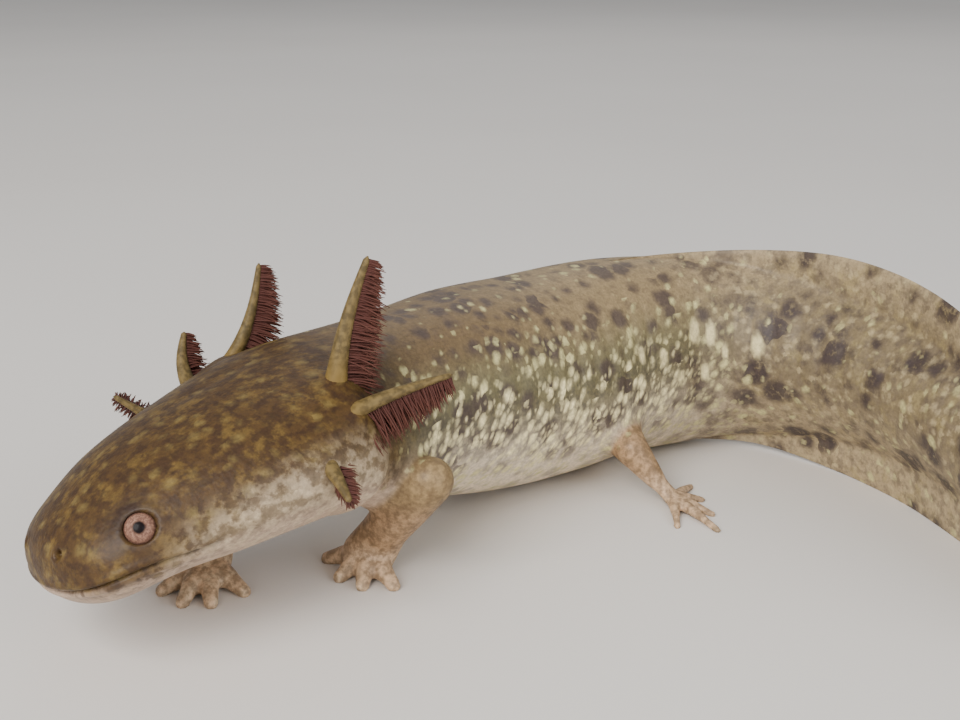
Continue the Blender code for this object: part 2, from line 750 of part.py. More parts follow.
def build():
    for old in list(bpy.data.objects):
        bpy.data.objects.remove(old)
    model = bpy.data.collections.new("andersons_salamander")
    cutters = bpy.data.collections.new("cutters")
    bpy.context.scene.collection.children.link(model)
    bpy.context.scene.collection.children.link(cutters)
    lengths, grown = body_lengths(model, cutters)
    finish_head(lengths["head"], model, cutters)
    floor = box_cutter("below_floor", FLOOR_LOW, FLOOR_HIGH, cutters)
    for leg, plan in LEGS.items():
        make_leg(leg, plan, grown, floor, model, cutters)
    for name, (root, tip, bow) in GILLS.items():
        make_gill(name, root, tip, bow, grown, model)
    for made in model.objects:
        paint(made.name, kind_of(made.name))
    centre_on_floor(model)
    for cutter in cutters.objects:
        cutter.hide_render = True
        cutter.display_type = "WIRE"


build()
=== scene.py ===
"""Looks of a gilled adult salamander, as a still life-size model.

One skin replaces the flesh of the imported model, six feathery gills and two eyes replace theirs. Shapes
are worked out in millimetres in the frame of the camera, whose floor point is the origin, and are
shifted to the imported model's place when a mesh is made.
"""

import math

import bpy
import numpy as np
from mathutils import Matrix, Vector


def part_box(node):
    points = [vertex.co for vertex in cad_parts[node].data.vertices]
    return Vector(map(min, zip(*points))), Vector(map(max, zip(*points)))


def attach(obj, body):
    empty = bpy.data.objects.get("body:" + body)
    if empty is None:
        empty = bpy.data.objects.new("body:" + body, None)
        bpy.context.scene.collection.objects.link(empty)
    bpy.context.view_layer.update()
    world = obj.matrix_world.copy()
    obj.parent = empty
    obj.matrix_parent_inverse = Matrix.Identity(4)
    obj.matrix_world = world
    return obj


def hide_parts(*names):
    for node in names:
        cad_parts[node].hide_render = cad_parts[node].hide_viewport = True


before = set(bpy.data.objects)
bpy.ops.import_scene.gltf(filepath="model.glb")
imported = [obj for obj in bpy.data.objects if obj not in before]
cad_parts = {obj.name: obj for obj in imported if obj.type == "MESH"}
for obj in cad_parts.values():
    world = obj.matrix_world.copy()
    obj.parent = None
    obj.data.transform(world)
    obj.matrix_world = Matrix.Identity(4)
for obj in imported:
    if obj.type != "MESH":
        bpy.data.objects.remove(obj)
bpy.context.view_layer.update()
MM = 0.001

# Camera: height above the floor, pitch downwards, focal length in pixels of a frame 960 pixels wide
CAMERA_HEIGHT = 75.5
CAMERA_PITCH = 18.0
FOCAL_PIXELS = 1350.0
FRAME_PIXELS = 960.0
SENSOR = 36.0

# Spine, as named places from the snout to the end of the tail: x, y and z of the section's middle
SPINE = {
    "snout": (-45.3, 125.8, 10.7),
    "eyes": (-38.7, 132.0, 13.3),
    "cheeks": (-29.8, 140.8, 15.9),
    "gills": (-21.5, 149.5, 17.8),
    "shoulders": (-11.9, 159.6, 17.4),
    "middle": (4.4, 178.2, 14.6),
    "hips": (19.6, 189.0, 14.8),
    "tail_root": (30.0, 192.3, 14.9),
    "tail_turn": (39.3, 190.6, 15.3),
    "tail_bend": (47.6, 184.2, 15.8),
    "tail_side": (56.6, 171.8, 15.6),
    "tail_edge": (61.2, 158.6, 14.5),
    "tail_thin": (64.0, 142.0, 11.2),
    "tail_end": (66.5, 124.5, 6.2),
}

# Sections: place along the spine from the snout, half width, height above and below the middle,
# share of the upper and of the lower height that flesh fills (the rest is fin), half thickness of fin
SECTIONS = (
    (0.0, 9.6, 4.8, 4.7, 1.0, 1.0, 0.0),
    (5.0, 11.0, 6.0, 5.2, 1.0, 1.0, 0.0),
    (11.0, 13.0, 8.2, 5.6, 1.0, 1.0, 0.0),
    (18.0, 15.2, 9.5, 6.8, 1.0, 1.0, 0.0),
    (26.0, 16.6, 10.3, 7.8, 1.0, 1.0, 0.0),
    (33.0, 15.6, 10.8, 8.8, 1.0, 1.0, 0.0),
    (40.0, 12.8, 11.2, 9.8, 1.0, 1.0, 0.0),
    (50.0, 12.6, 12.2, 12.0, 1.0, 1.0, 0.0),
    (62.0, 14.2, 14.0, 13.6, 1.0, 1.0, 0.0),
    (76.0, 14.6, 14.6, 14.4, 1.0, 1.0, 0.0),
    (90.0, 12.8, 14.6, 14.6, 1.0, 1.0, 0.0),
    (101.0, 10.6, 14.6, 14.6, 0.96, 1.0, 0.6),
    (113.0, 8.4, 15.0, 14.6, 0.84, 0.9, 0.6),
    (127.0, 6.6, 15.6, 15.6, 0.68, 0.74, 0.6),
    (142.0, 5.4, 14.6, 15.6, 0.6, 0.66, 0.55),
    (158.0, 4.2, 12.2, 14.4, 0.55, 0.6, 0.5),
    (174.0, 3.0, 10.2, 11.4, 0.5, 0.54, 0.45),
    (200.0, 1.2, 5.0, 5.0, 0.44, 0.46, 0.35),
)
SNOUT_BLUNT = 9.0
TAIL_BLUNT = 16.0
ROUND_POWER = 0.5
SOFT_POWER = 0.55
SOFT_SPAN = 0.3
HEAD_ROLL = 11.0
ROLL_FULL = 20.0
ROLL_END = 46.0

# Rows and columns of the skin: the head's columns are twice the body's, and meet them at its rear
HEAD_END = 39.5
HEAD_ROWS = 140
BODY_COLUMNS = 128
BODY_STEP = 0.62
TAIL_FINE = 12.0
TAIL_ROWS = 34

# Turn of the trunk about the upright axis, which the slanted flecks follow
TRUNK_TURN = math.radians(46.6)

# Head features, as places along the spine, across it and above its middle
EYE_ALONG = 8.3
EYE_ACROSS = 9.6
EYE_UP = 2.6
EYE_RADIUS = 1.75
EYE_WAY = (0.8, 0.5, -0.33)
NOSTRIL_ALONG = 1.5
NOSTRIL_TURN = 36.0
MOUTH_CORNER = 14.0
MOUTH_FRONT = -4.0
MOUTH_DROP = -1.5
MOUTH_ARCH = 1.0

# Turn in degrees, from the back's midline, of the column that follows the mouth's line, and how far
# behind the mouth's corner the columns are evenly spaced again
MOUTH_COLUMN = 106.0
MOUTH_FADE = 12.0

# Legs: joint places, radii there and the tips of the digits, whose height depends on the kind of leg
LEGS = {
    "front_left": {
        "joints": ((-12.4, 147.0, 12.4), (-5.9, 144.2, 14.0), (-11.2, 148.0, 6.4), (-13.6, 149.2, 2.2)),
        "radii": (3.3, 3.0, 2.9, 3.3),
        "tips": ((-19.3, 151.6), (-17.2, 146.0), (-14.0, 143.7), (-10.0, 143.8)),
    },
    "front_right": {
        "joints": ((-20.5, 160.5, 14.0), (-29.4, 160.0, 10.5), (-32.6, 150.8, 4.8), (-32.8, 146.6, 2.2)),
        "radii": (3.9, 3.2, 2.9, 3.0),
        "tips": ((-37.8, 142.6), (-34.6, 139.6), (-31.0, 139.4), (-27.4, 142.4)),
    },
    "hind_left": {
        "joints": ((18.0, 179.0, 9.0), (20.7, 171.4, 7.0), (24.0, 169.6, 3.2), (26.2, 168.4, 1.0)),
        "radii": (3.8, 2.4, 1.4, 1.4),
        "tips": ((29.6, 174.4), (30.6, 169.8), (31.2, 164.8), (31.0, 159.8), (25.8, 161.0)),
    },
    "hind_right": {
        "joints": ((14.6, 198.4, 9.0), (9.4, 206.4, 6.9), (12.4, 210.6, 3.2), (13.6, 212.4, 1.0)),
        "radii": (3.8, 2.4, 1.4, 1.4),
        "tips": ((7.6, 213.4), (8.6, 218.2), (13.0, 220.9), (18.0, 219.0), (19.4, 213.8)),
    },
}
TIP_HEIGHT = {"front": 0.4, "hind": 0.2}
DIGIT_ROOT = {"front": 2.1, "hind": 0.85}
DIGIT_TIP = {"front": 0.78, "hind": 0.38}
DIGIT_START = 0.1
DIGIT_HEIGHT = 1.5
DIGIT_BOW = {"front": 0.4, "hind": 0.25}
DIGIT_TAPER = 1.4
DIGIT_PLUMP = 0.08
DIGIT_PLUMP_AT = 0.72
DIGIT_PLUMP_WIDTH = 0.12
PALM_FLAT = 0.72
LEG_VOXEL = 0.27
LEG_SMOOTHING = (0.5, -0.51) * 8 + (0.4,)
SEAM_OFFSET = 0.6
SEAM_WIDTH = 2.2
SEAM_WEIGHT = 0.6
SEAM_ROUNDS = 40

# Gills: root as places along, across and above the head's middle, tip and bow as x, y and z
GILLS = {
    "gill_left_upper": ((32.4, 10.2, 5.2), (-12.3, 144.3, 40.6), (-0.7, 0.0, 0.0)),
    "gill_left_middle": ((28.6, 12.2, 4.2), (-3.1, 143.4, 27.2), (-0.3, 0.0, 0.5)),
    "gill_left_lower": ((27.3, 13.4, 2.2), (-13.4, 127.8, 18.6), (0.0, 0.0, 0.6)),
    "gill_right_upper": ((31.2, -10.8, 5.6), (-27.0, 160.5, 35.8), (1.1, 0.0, -0.6)),
    "gill_right_middle": ((30.6, -12.8, 2.6), (-37.2, 162.6, 26.4), (-1.6, 1.0, -0.4)),
    "gill_right_lower": ((29.6, -13.4, -0.6), (-45.0, 156.4, 20.0), (0.0, 0.6, -0.8)),
}
STALK_ROOT = 1.4
STALK_TIP = 0.34
STALK_END = 0.08
STALK_FLARE = 0.6
STALK_FLARED = 0.16
STALK_SIDES = 18
STALK_ROWS = 40
STALK_FLAT = 0.85
FILAMENT_STEP = 0.17
FILAMENT_ROWS = 10
FILAMENT_LONG = 5.8
FILAMENT_SHORT = 2.6
FILAMENT_FULL = 14.0
FILAMENT_SPREAD = 36.0
FILAMENT_WISH = (0.56, 0.56, -0.6)
FILAMENT_FIRST = 0.16
FILAMENT_SPAN = 0.82
FILAMENT_DROOP = (0.0, 0.0, -0.24)
FILAMENT_ROOT = 0.115
FILAMENT_TIP = 0.03
FILAMENT_HELPER = (0.31, -0.22, 0.93)
FILAMENT_RINGS = 7
FILAMENT_SIDES = 4

# Relief of the skin. A ridge has its height, negative in a groove, its place and its half width. A span is
# where a form starts, is full, fades and ends. A lean is how far a fold moves along the spine between the
# middle and the edge of a section. TALL is how much more height counts than length round the jaw's forms
COSTAL_SPAN = (49.0, 54.0, 91.0, 96.0)
COSTAL_FIRST = 51.0
COSTAL_STEP = 3.5
COSTAL_LEAN = 1.6
COSTAL_GROOVE = (-0.2, 0.0, 0.6)
BAND_SPAN = (96.0, 104.0, 160.0, 178.0)
BAND_STEP = 3.9
BAND_LEAN = -3.2
BAND_GROOVE = (-0.16, 0.0, 0.6)
THROAT_FOLD = 36.0
THROAT_LEAN = 3.2
THROAT_GROOVE = (-0.75, 0.0, 0.55)
THROAT_ROLL = (0.4, -1.5, 1.1)
BACK_SPAN = (16.0, 24.0, 90.0, 100.0)
BACK_GROOVE = (-0.18, 0.0, 1.4)
LIP_GROOVE = (-0.5, 0.0, 0.19)
UPPER_LIP = (0.2, 0.62, 0.42)
LOWER_LIP = (0.16, -0.6, 0.4)
CORNER_PIT = (-0.3, 0.0, 0.7)
JAW_PLACE = (21.0, 2.0)
JAW_MUSCLE = (0.35, 0.0, 5.0)
TALL = 1.4
SOCKET_DEPTH = 1.7
SOCKET_EDGE = (1.76, 1.38)
EYE_RIM = (0.08, 2.2, 0.6)
NOSTRIL_PIT = (0.85, 0.0, 0.42)
NOSTRIL_RIM = (-0.12, 0.85, 0.3)
NOSTRIL_AIM = 6.0
GILL_MOUND = 1.3
GILL_MOUND_WIDTH = 2.7
GILL_MOUND_FULL = 24.0
GILL_MOUND_SPAN = (-2.5, 0.5, 4.0, 8.0)
LIMB_MOUND = 1.5
LIMB_MOUND_WIDTH = 1.45
LIMB_MOUND_SPAN = (-4.0, 0.0, 6.0, 9.0)

FLESH_NODES = ["head", "lower_jaw", "neck", "chest", "belly", "hips"]
FLESH_NODES += ["tail_base", "tail_middle", "tail_rear", "tail_tip"]
for side in ("left", "right"):
    FLESH_NODES += [f"front_{side}_{word}" for word in ("upper_arm", "forearm", "hand")]
    FLESH_NODES += [f"hind_{side}_{word}" for word in ("thigh", "shank", "foot")]


# Fields of the skin: where each starts and where it is full, along the spine or as a rise, which is the
# height over the section's middle as a share of the section's own height there. The orbit's way is where
# the dark skin round an eye is strongest
HEAD_FIELD = (46, 34)
TAIL_FIELD = (90, 120)
BACK_FIELD = (46, 84)
FLANK_RISE = (0.8, 0.3)
BELLY_RISE = (0.2, -0.6)
CHEEK_SPAN = (6, 17, 31, 38)
CHEEK_TOP = 0.38
CHEEK_TOP_REAR = 0.1
CHEEK_TALL = 0.55
THROAT_RISE = (-0.12, -0.5)
LIMB_FIELD = (0.5, 1.8)
LIMB_REACH = (10, 7)
PAW_HEIGHT = (5.5, 2.5)
ELBOW_HEIGHT = (8.5, 13.0)
ORBIT_REACH = (4.6, 2.3)
ORBIT_WAY = (-0.75, 0.0, 0.65)
LID_REACH = (1.95, 1.6)
BAR_EDGE = (1.2, 0.7)


def srgb(red, green, blue):
    """A colour as the eye reads it, 0 to 255, made linear: ((c + 0.055) / 1.055) to the power 2.4."""
    share = (np.array((red, green, blue)) / 255 + 0.055) / 1.055
    return share**2.4


# Colours of the animal and of the floor
HEAD_TOP = srgb(71, 50, 23)
HEAD_SIDE = srgb(134, 116, 92)
HEAD_DARK = srgb(50, 31, 17)
MARBLE = srgb(196, 176, 146)
EYE_SKIN = srgb(40, 24, 19)
THROAT = srgb(172, 148, 128)
BACK_FRONT = srgb(111, 90, 60)
BACK = srgb(144, 123, 88)
FLANK = srgb(116, 108, 74)
BELLY = srgb(228, 209, 182)
SLATE = srgb(66, 60, 58)
TAIL = srgb(122, 106, 78)
# Paler tail colour: the fin's own paler top edge, and painted light on the lower side, lightened against
# the shade where it faces down
TAIL_EDGE_AND_UNDERSIDE_LIGHT = srgb(158, 139, 107)
TAIL_WARM = srgb(156, 138, 92)
TAIL_COOL = srgb(98, 86, 74)
TAIL_DARK = srgb(54, 44, 46)
TAIL_PALE = srgb(184, 166, 126)
LEG = srgb(156, 126, 94)
PAW = srgb(190, 160, 128)
ELBOW = srgb(124, 106, 68)
LEG_DARK = srgb(100, 78, 54)
CREAM = srgb(242, 226, 172)
CREAM_HIGH = srgb(184, 174, 122)
BAR = srgb(212, 197, 148)
GOLD = srgb(116, 92, 42)
GOLD_PALE = srgb(150, 130, 72)
DARK = srgb(70, 58, 54)
RACHIS = srgb(106, 88, 52)
FILAMENT = srgb(76, 42, 35)
FILAMENT_END = srgb(104, 64, 52)
IRIS_DARK = srgb(104, 74, 64)
IRIS_PALE = srgb(156, 118, 98)
IRIS_RIM = srgb(96, 66, 56)
PUPIL = srgb(14, 6, 8)
FLOOR = srgb(214, 208, 202)
FLOOR_PALE = srgb(224, 219, 213)

# Pattern of the skin over its ground colour. A noise has its coordinates, scale and detail. The layers are
# painted in this order, each with its colour, the mask that it keeps to and its strength there. A layer
# from a noise ends with two levels, where it starts and where it is full. A layer of spots has coordinates
# and the values of the group: spacing, size, share of cells that hold a spot, wobble and softness
NOISES = {
    "middle": ("straight", 0.45, 4.0),
    "mottled": ("straight", 0.75, 4.0),
    "cloud": ("still", 0.3, 4.0),
    "patchy": ("still", 0.75, 4.0),
    "coarse": ("still", 1.1, 4.0),
    "fine": ("still", 2.6, 5.0),
}
SPOT_VALUES = ("Spacing", "Size", "Share", "Wobble", "Soft")
LAYERS = (
    (GOLD, "mottle", 0.45, "middle", 0.44, 0.66),
    (HEAD_DARK, "mottle", 0.72, "mottled", 0.57, 0.4),
    (GOLD_PALE, "mottle", 0.34, "straight", 1.6, 0.26, 0.45, 0.8, 0.7),
    (MARBLE, "cheek", 0.52, "mottled", 0.43, 0.63),
    (MARBLE, "cheek", 0.5, "straight", 1.5, 0.42, 0.4, 0.7, 0.7),
    (LEG_DARK, "leg", 0.55, "coarse", 0.62, 0.38),
    (TAIL_WARM, "tail", 0.5, "cloud", 0.5, 0.66),
    (TAIL_COOL, "tail", 0.5, "patchy", 0.54, 0.38),
    (SLATE, "slate", 0.62, "patchy", 0.38, 0.56),
    (DARK, "spot", 0.4, "patchy", 0.52, 0.36),
    (DARK, "spot", 1.0, "still", 3.0, 0.4, 0.92, 0.5, 0.42),
    (TAIL_PALE, "tail", 0.5, "still", 1.15, 0.36, 0.5, 0.8, 0.6),
    (TAIL_DARK, "tail", 0.45, "still", 1.7, 0.34, 0.5, 0.8, 0.5),
    (TAIL_DARK, "broken_tail", 0.88, "still", 4.3, 0.35, 0.85, 0.45, 0.34),
)
BREAKS = (0.25, 0.5)
FLECK_LEAN = 0.35
FLECK_STRETCH = (1.08, 1.0, 0.8)

# Pale upright bars on the left of the tail's root: middle as x, y and z, half height, half width. The depth
# is how far one reaches into the skin and out of it
BAR_DEPTH = 2.4
TAIL_BARS = (
    (30.3, 183.0, 20.4, 1.7, 0.65),
    (32.8, 183.6, 19.7, 1.8, 0.75),
    (39.2, 182.2, 18.5, 1.6, 0.8),
    (25.6, 178.6, 17.8, 1.1, 0.45),
    (22.2, 176.1, 18.8, 1.0, 0.45),
    (32.1, 182.6, 14.4, 1.3, 0.6),
    (28.4, 180.4, 14.2, 0.9, 0.5),
    (34.9, 183.1, 17.3, 0.9, 0.5),
)


# Lights: place in metres, size, power and colour; all of them face the animal
LIGHTS = {
    "key": ((-0.3, -0.55, 0.5), 0.5, 9.0, (1.0, 0.98, 0.95)),
    "fill": ((0.6, -0.55, 0.3), 0.7, 4.5, (0.94, 0.97, 1.0)),
    "back": ((0.1, 0.7, 0.6), 0.6, 1.0, (1.0, 1.0, 1.0)),
}
LIGHT_TARGET = (0.0, 0.0, 0.01)
SURROUND = (0.9, 0.92, 0.95, 1.0)
SURROUND_STRENGTH = 0.5
FLOOR_REACH = 6000.0


def smooth(low, high, x):
    """0 up to low and 1 from high on, with an s-shaped rise between."""
    t = np.clip((np.asarray(x, float) - low) / (high - low), 0, 1)
    return t * t * (3 - 2 * t)


def plateau(x, start, full, fade, end):
    """0 up to start, 1 from full to fade and 0 from end on, with s-shaped sides."""
    return smooth(start, full, x) * smooth(end, fade, x)


def bell(x, width):
    """A bell curve of height 1: e to the power of minus (x / width) squared."""
    return np.exp(-((np.asarray(x, float) / width) ** 2))


def ridge(x, height, place, width):
    """The height times a bell round a place."""
    return height * bell(x - place, width)


def unit(vectors):
    return vectors / np.maximum(np.linalg.norm(vectors, axis=-1, keepdims=True), 1e-9)


def from_line(points, start, way):
    """Distances of points along a line and square to it."""
    offset = points - start
    axial = offset @ way
    return axial, np.linalg.norm(offset - axial[..., None] * way, axis=-1)


def from_fold(place, spacing):
    """Distance from the nearest multiple of a spacing."""
    share = place / spacing
    return np.abs(share - np.round(share)) * spacing


def hermite(x, xs, ys):
    """Cubic pieces through the points (xs, ys), with slopes from each point's neighbours."""
    slope = np.gradient(ys, xs, axis=0)
    i = np.clip(np.searchsorted(xs, x, side="right") - 1, 0, len(xs) - 2)
    step = xs[i + 1] - xs[i]
    t = (x - xs[i]) / step
    if ys.ndim > 1:
        step = np.expand_dims(step, -1)
        t = np.expand_dims(t, -1)
    return (
        ys[i] * (1 + 2 * t) * (1 - t) ** 2
        + slope[i] * step * t * (1 - t) ** 2
        + ys[i + 1] * t * t * (3 - 2 * t)
        + slope[i + 1] * step * t * t * (t - 1)
    )


SPINE_POINTS = np.array(list(SPINE.values()))
SPINE_STEPS = np.linalg.norm(np.diff(SPINE_POINTS, axis=0), axis=1)
SPINE_ALONG = np.concatenate(([0.0], np.cumsum(SPINE_STEPS)))
BODY_LENGTH = SPINE_ALONG[-1]
SECTION_TABLE = np.array(SECTIONS)


def frames_at(along):
    """Middles of sections, with the unit vectors towards the tail, the left side and upwards there."""
    reach = 0.4
    along = np.atleast_1d(np.asarray(along, float))
    middle = hermite(along, SPINE_ALONG, SPINE_POINTS)
    ahead = hermite(np.minimum(along + reach, BODY_LENGTH), SPINE_ALONG, SPINE_POINTS)
    behind = hermite(np.maximum(along - reach, 0.0), SPINE_ALONG, SPINE_POINTS)
    back = unit(ahead - behind)
    left = unit(np.cross(back, (0.0, 0.0, 1.0)))
    up = np.cross(left, back)
    roll = np.radians(HEAD_ROLL) * (1 - smooth(ROLL_FULL, ROLL_END, along))[:, None]
    turned_left = left * np.cos(roll) + up * np.sin(roll)
    turned_up = up * np.cos(roll) - left * np.sin(roll)
    return middle, back, turned_left, turned_up


def section_at(along):
    """Half width, height above and below, flesh shares and fin thickness, shrunk to round ends.

    The shrinking is the root of 1 less the share of the end's length, to the power 4 at the snout and 2.4
    at the tail.
    """
    row = hermite(along, SECTION_TABLE[:, 0], SECTION_TABLE[:, 1:])
    nose = np.clip(1 - along / SNOUT_BLUNT, 0, 1)
    end = np.clip(1 - (BODY_LENGTH - along) / TAIL_BLUNT, 0, 1)
    shrink = np.sqrt(1 - nose**4) * np.sqrt(np.maximum(1 - end**2.4, 0))
    row[..., [0, 1, 2, 5]] *= shrink[..., None]
    return row


def head_point(along, across, up):
    """The section's middle plus the places across and up, along its left and upward directions."""
    middle, _, left, upward = frames_at(along)
    return middle[0] + left[0] * across + upward[0] * up


def mouth_height(along):
    """The mouth's line: lowest at the snout and the corner, arched between as a squared sine."""
    share = np.clip((along - MOUTH_FRONT) / (MOUTH_CORNER - MOUTH_FRONT), 0, 1)
    return MOUTH_DROP + MOUTH_ARCH * np.sin(np.pi * share) ** 2


def eye_place(side):
    """Centre of an eye and the unit vector that it looks along."""
    _, back, left, up = (v[0] for v in frames_at(EYE_ALONG))
    outward = left * side * EYE_WAY[0] + up * EYE_WAY[1] + back * EYE_WAY[2]
    return head_point(EYE_ALONG, side * EYE_ACROSS, EYE_UP), unit(outward)


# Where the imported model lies: the camera frame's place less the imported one, found at the left eye
low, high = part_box("eye_left")
SHIFT = eye_place(1)[0] - (np.array(low) + np.array(high)) / 2 / MM
SHIFT[2] = 0.0


def make_mesh(name, points, *face_sets):
    """A mesh object from points in millimetres and arrays of faces with three or four corners."""
    mesh = bpy.data.meshes.new(name)
    corners = np.concatenate([faces.ravel() for faces in face_sets])
    totals = np.concatenate([np.full(len(faces), faces.shape[1]) for faces in face_sets])
    starts = np.concatenate(([0], np.cumsum(totals)[:-1]))
    mesh.vertices.add(len(points))
    mesh.vertices.foreach_set("co", ((points - SHIFT) * MM).ravel())
    mesh.loops.add(len(corners))
    mesh.loops.foreach_set("vertex_index", corners.astype(np.int32))
    mesh.polygons.add(len(totals))
    mesh.polygons.foreach_set("loop_start", starts.astype(np.int32))
    mesh.update(calc_edges=True)
    mesh.validate()
    made = bpy.data.objects.new(name, mesh)
    bpy.context.scene.collection.objects.link(made)
    return made


def tube_faces(rows, columns, first=0):
    """Quads of a grid that closes round its columns, from the vertex numbered first."""
    i, j = np.meshgrid(np.arange(rows - 1), np.arange(columns), indexing="ij")
    a = first + i * columns + j
    b = first + i * columns + (j + 1) % columns
    return np.stack([a, b, b + columns, a + columns], axis=-1).reshape(-1, 4)


def fan(ring, pole, turned=False):
    """Triangles from a closed ring of vertex numbers to one pole."""
    after = np.roll(ring, -1)
    near, far = (after, ring) if turned else (ring, after)
    return np.stack([near, far, np.full(len(ring), pole)], axis=-1)


def read_points(made):
    co = np.empty(len(made.data.vertices) * 3)
    made.data.vertices.foreach_get("co", co)
    return co.reshape(-1, 3) / MM + SHIFT


def write_points(made, points):
    made.data.vertices.foreach_set("co", ((points - SHIFT) * MM).ravel())
    made.data.update()


def read_edges(made):
    pairs = np.empty(len(made.data.edges) * 2, np.int32)
    made.data.edges.foreach_get("vertices", pairs)
    return pairs.reshape(-1, 2)


def relax(points, edges, weight, rounds):
    """Moves each point by its weight towards the mean of its neighbours, a number of times."""
    a, b = edges.T
    count = np.bincount(edges.ravel(), minlength=len(points))[:, None]
    weight = np.broadcast_to(weight, len(points))[:, None]
    for _ in range(rounds):
        total = np.stack(
            [
                np.bincount(a, points[b, k], len(points)) + np.bincount(b, points[a, k], len(points))
                for k in range(3)
            ],
            axis=-1,
        )
        points = points + weight * (total / np.maximum(count, 1) - points)
    return points


def apply_modifiers(made):
    depsgraph = bpy.context.evaluated_depsgraph_get()
    mesh = bpy.data.meshes.new_from_object(made.evaluated_get(depsgraph))
    made.modifiers.clear()
    made.data = mesh


def skin_rows(along, columns):
    """Skin points for rows along the spine and columns round it.

    A point is the section's middle, plus the half width times sin(turn) to the left, plus the height
    times cos(turn) upwards. Beyond the flesh the width falls to the fin's. The head's columns are
    shifted so that one follows the mouth's line.
    """
    middle, _, left, up = frames_at(along)
    half, above, below, flesh_up, flesh_down, fin = section_at(along).T[..., None]
    turn = 2 * np.pi * np.arange(columns) / columns
    turn = np.where(turn > np.pi, turn - 2 * np.pi, turn)[None, :]
    column = np.radians(MOUTH_COLUMN)
    low = np.clip(-mouth_height(along)[:, None] / np.maximum(below, 1e-3), -1, 0.9)
    wanted = np.pi / 2 + np.arcsin(low)
    behind = smooth(MOUTH_CORNER, MOUTH_CORNER + MOUTH_FADE, along)[:, None]
    wanted = column + (wanted - column) * (1 - behind)
    size = np.abs(turn)
    above_mouth = size * wanted / column
    below_mouth = np.pi - (np.pi - size) * (np.pi - wanted) / (np.pi - column)
    shifted = np.where(size < column, above_mouth, below_mouth)
    turn = np.sign(turn) * shifted
    rise = np.cos(turn)
    flesh = np.where(rise >= 0, flesh_up, flesh_down)
    power = ROUND_POWER + SOFT_POWER * np.clip((1 - flesh) / SOFT_SPAN, 0, 1)
    core = half * np.maximum(0, 1 - (rise / flesh) ** 2) ** power
    blade = fin * np.sqrt(np.maximum(0, 1 - np.abs(rise) ** 6))
    across = (core**4 + blade**4) ** 0.25 * np.sign(np.where(np.abs(np.sin(turn)) < 1e-9, 0, turn))
    height = rise * np.where(rise >= 0, above, below)
    points = middle[:, None] + left[:, None] * across[..., None] + up[:, None] * height[..., None]
    straight = np.stack([np.broadcast_to(along[:, None], across.shape), across, height], axis=-1)
    return points, straight


def grid_normals(points, middles):
    """Outward normals of rows of points, from the differences along and round the rows."""
    round_way = np.roll(points, -1, axis=1) - np.roll(points, 1, axis=1)
    long_way = np.gradient(points, axis=0)
    normals = unit(np.cross(round_way, long_way))
    outward = points - middles[:, None]
    flip = np.sign(np.sum(normals * outward, axis=-1, keepdims=True))
    return normals * np.where(flip == 0, 1, flip)


def trunk_relief(straight):
    """Height of folds over the trunk and tail: costal grooves, muscle bands, folds of throat and back."""
    along, across, up = straight[..., 0], straight[..., 1], straight[..., 2]
    section = section_at(along)
    rise = up / np.where(up >= 0, section[..., 1], section[..., 2])
    costal = from_fold(along - COSTAL_LEAN * rise - COSTAL_FIRST, COSTAL_STEP)
    on_flank = smooth(0.88, 0.55, np.abs(rise - 0.05)) * plateau(along, *COSTAL_SPAN)
    band = from_fold(along - BAND_LEAN * np.abs(rise), BAND_STEP)
    on_tail = smooth(0.62, 0.4, np.abs(rise)) * plateau(along, *BAND_SPAN)
    gap = along - THROAT_FOLD + THROAT_LEAN * smooth(0.1, -0.9, rise)
    throat = ridge(gap, *THROAT_GROOVE) + ridge(gap, *THROAT_ROLL)
    on_back = smooth(0.4, 0.8, rise) * plateau(along, *BACK_SPAN)
    relief = ridge(costal, *COSTAL_GROOVE) * on_flank + ridge(band, *BAND_GROOVE) * on_tail
    return relief + throat * smooth(0.1, -0.25, rise) + ridge(across, *BACK_GROOVE) * on_back


def head_relief(straight):
    """Height of the head's forms: lips either side of the mouth's groove, its corner, jaw muscles."""
    along, up = straight[..., 0], straight[..., 2]
    above_line = up - mouth_height(along)
    mouth = sum(ridge(above_line, *form) for form in (LIP_GROOVE, UPPER_LIP, LOWER_LIP))
    corner = np.hypot(along - MOUTH_CORNER, (up - MOUTH_DROP) * TALL)
    jaw = np.hypot(along - JAW_PLACE[0], (up - JAW_PLACE[1]) * TALL)
    relief = mouth * smooth(MOUTH_CORNER + 0.6, MOUTH_CORNER - 1.2, along)
    return relief + ridge(corner, *CORNER_PIT) + ridge(jaw, *JAW_MUSCLE)


def press_eye(points, side):
    """Sinks the skin under the eye and raises a low rim round it, both along the way the eye looks."""
    centre, outward = eye_place(side)
    _, radius = from_line(points, centre, outward)
    near = smooth(6.0, 4.0, np.linalg.norm(points - centre, axis=-1))
    lift = ridge(radius, *EYE_RIM) - SOCKET_DEPTH * smooth(*SOCKET_EDGE, radius)
    return points + (lift * near)[..., None] * outward


def press_nostril(points, side):
    """A small pit with a low rim, pressed towards the inside of the snout."""
    turn = math.radians(NOSTRIL_TURN) * side
    half, above = section_at(np.array([NOSTRIL_ALONG]))[0][:2]
    spot = head_point(NOSTRIL_ALONG, half * math.sin(turn), above * math.cos(turn))
    inward = unit(head_point(NOSTRIL_AIM, 0.0, 0.0) - spot)
    gap = np.linalg.norm(points - spot, axis=-1)
    depth = ridge(gap, *NOSTRIL_PIT) + ridge(gap, *NOSTRIL_RIM)
    return points + depth[..., None] * inward


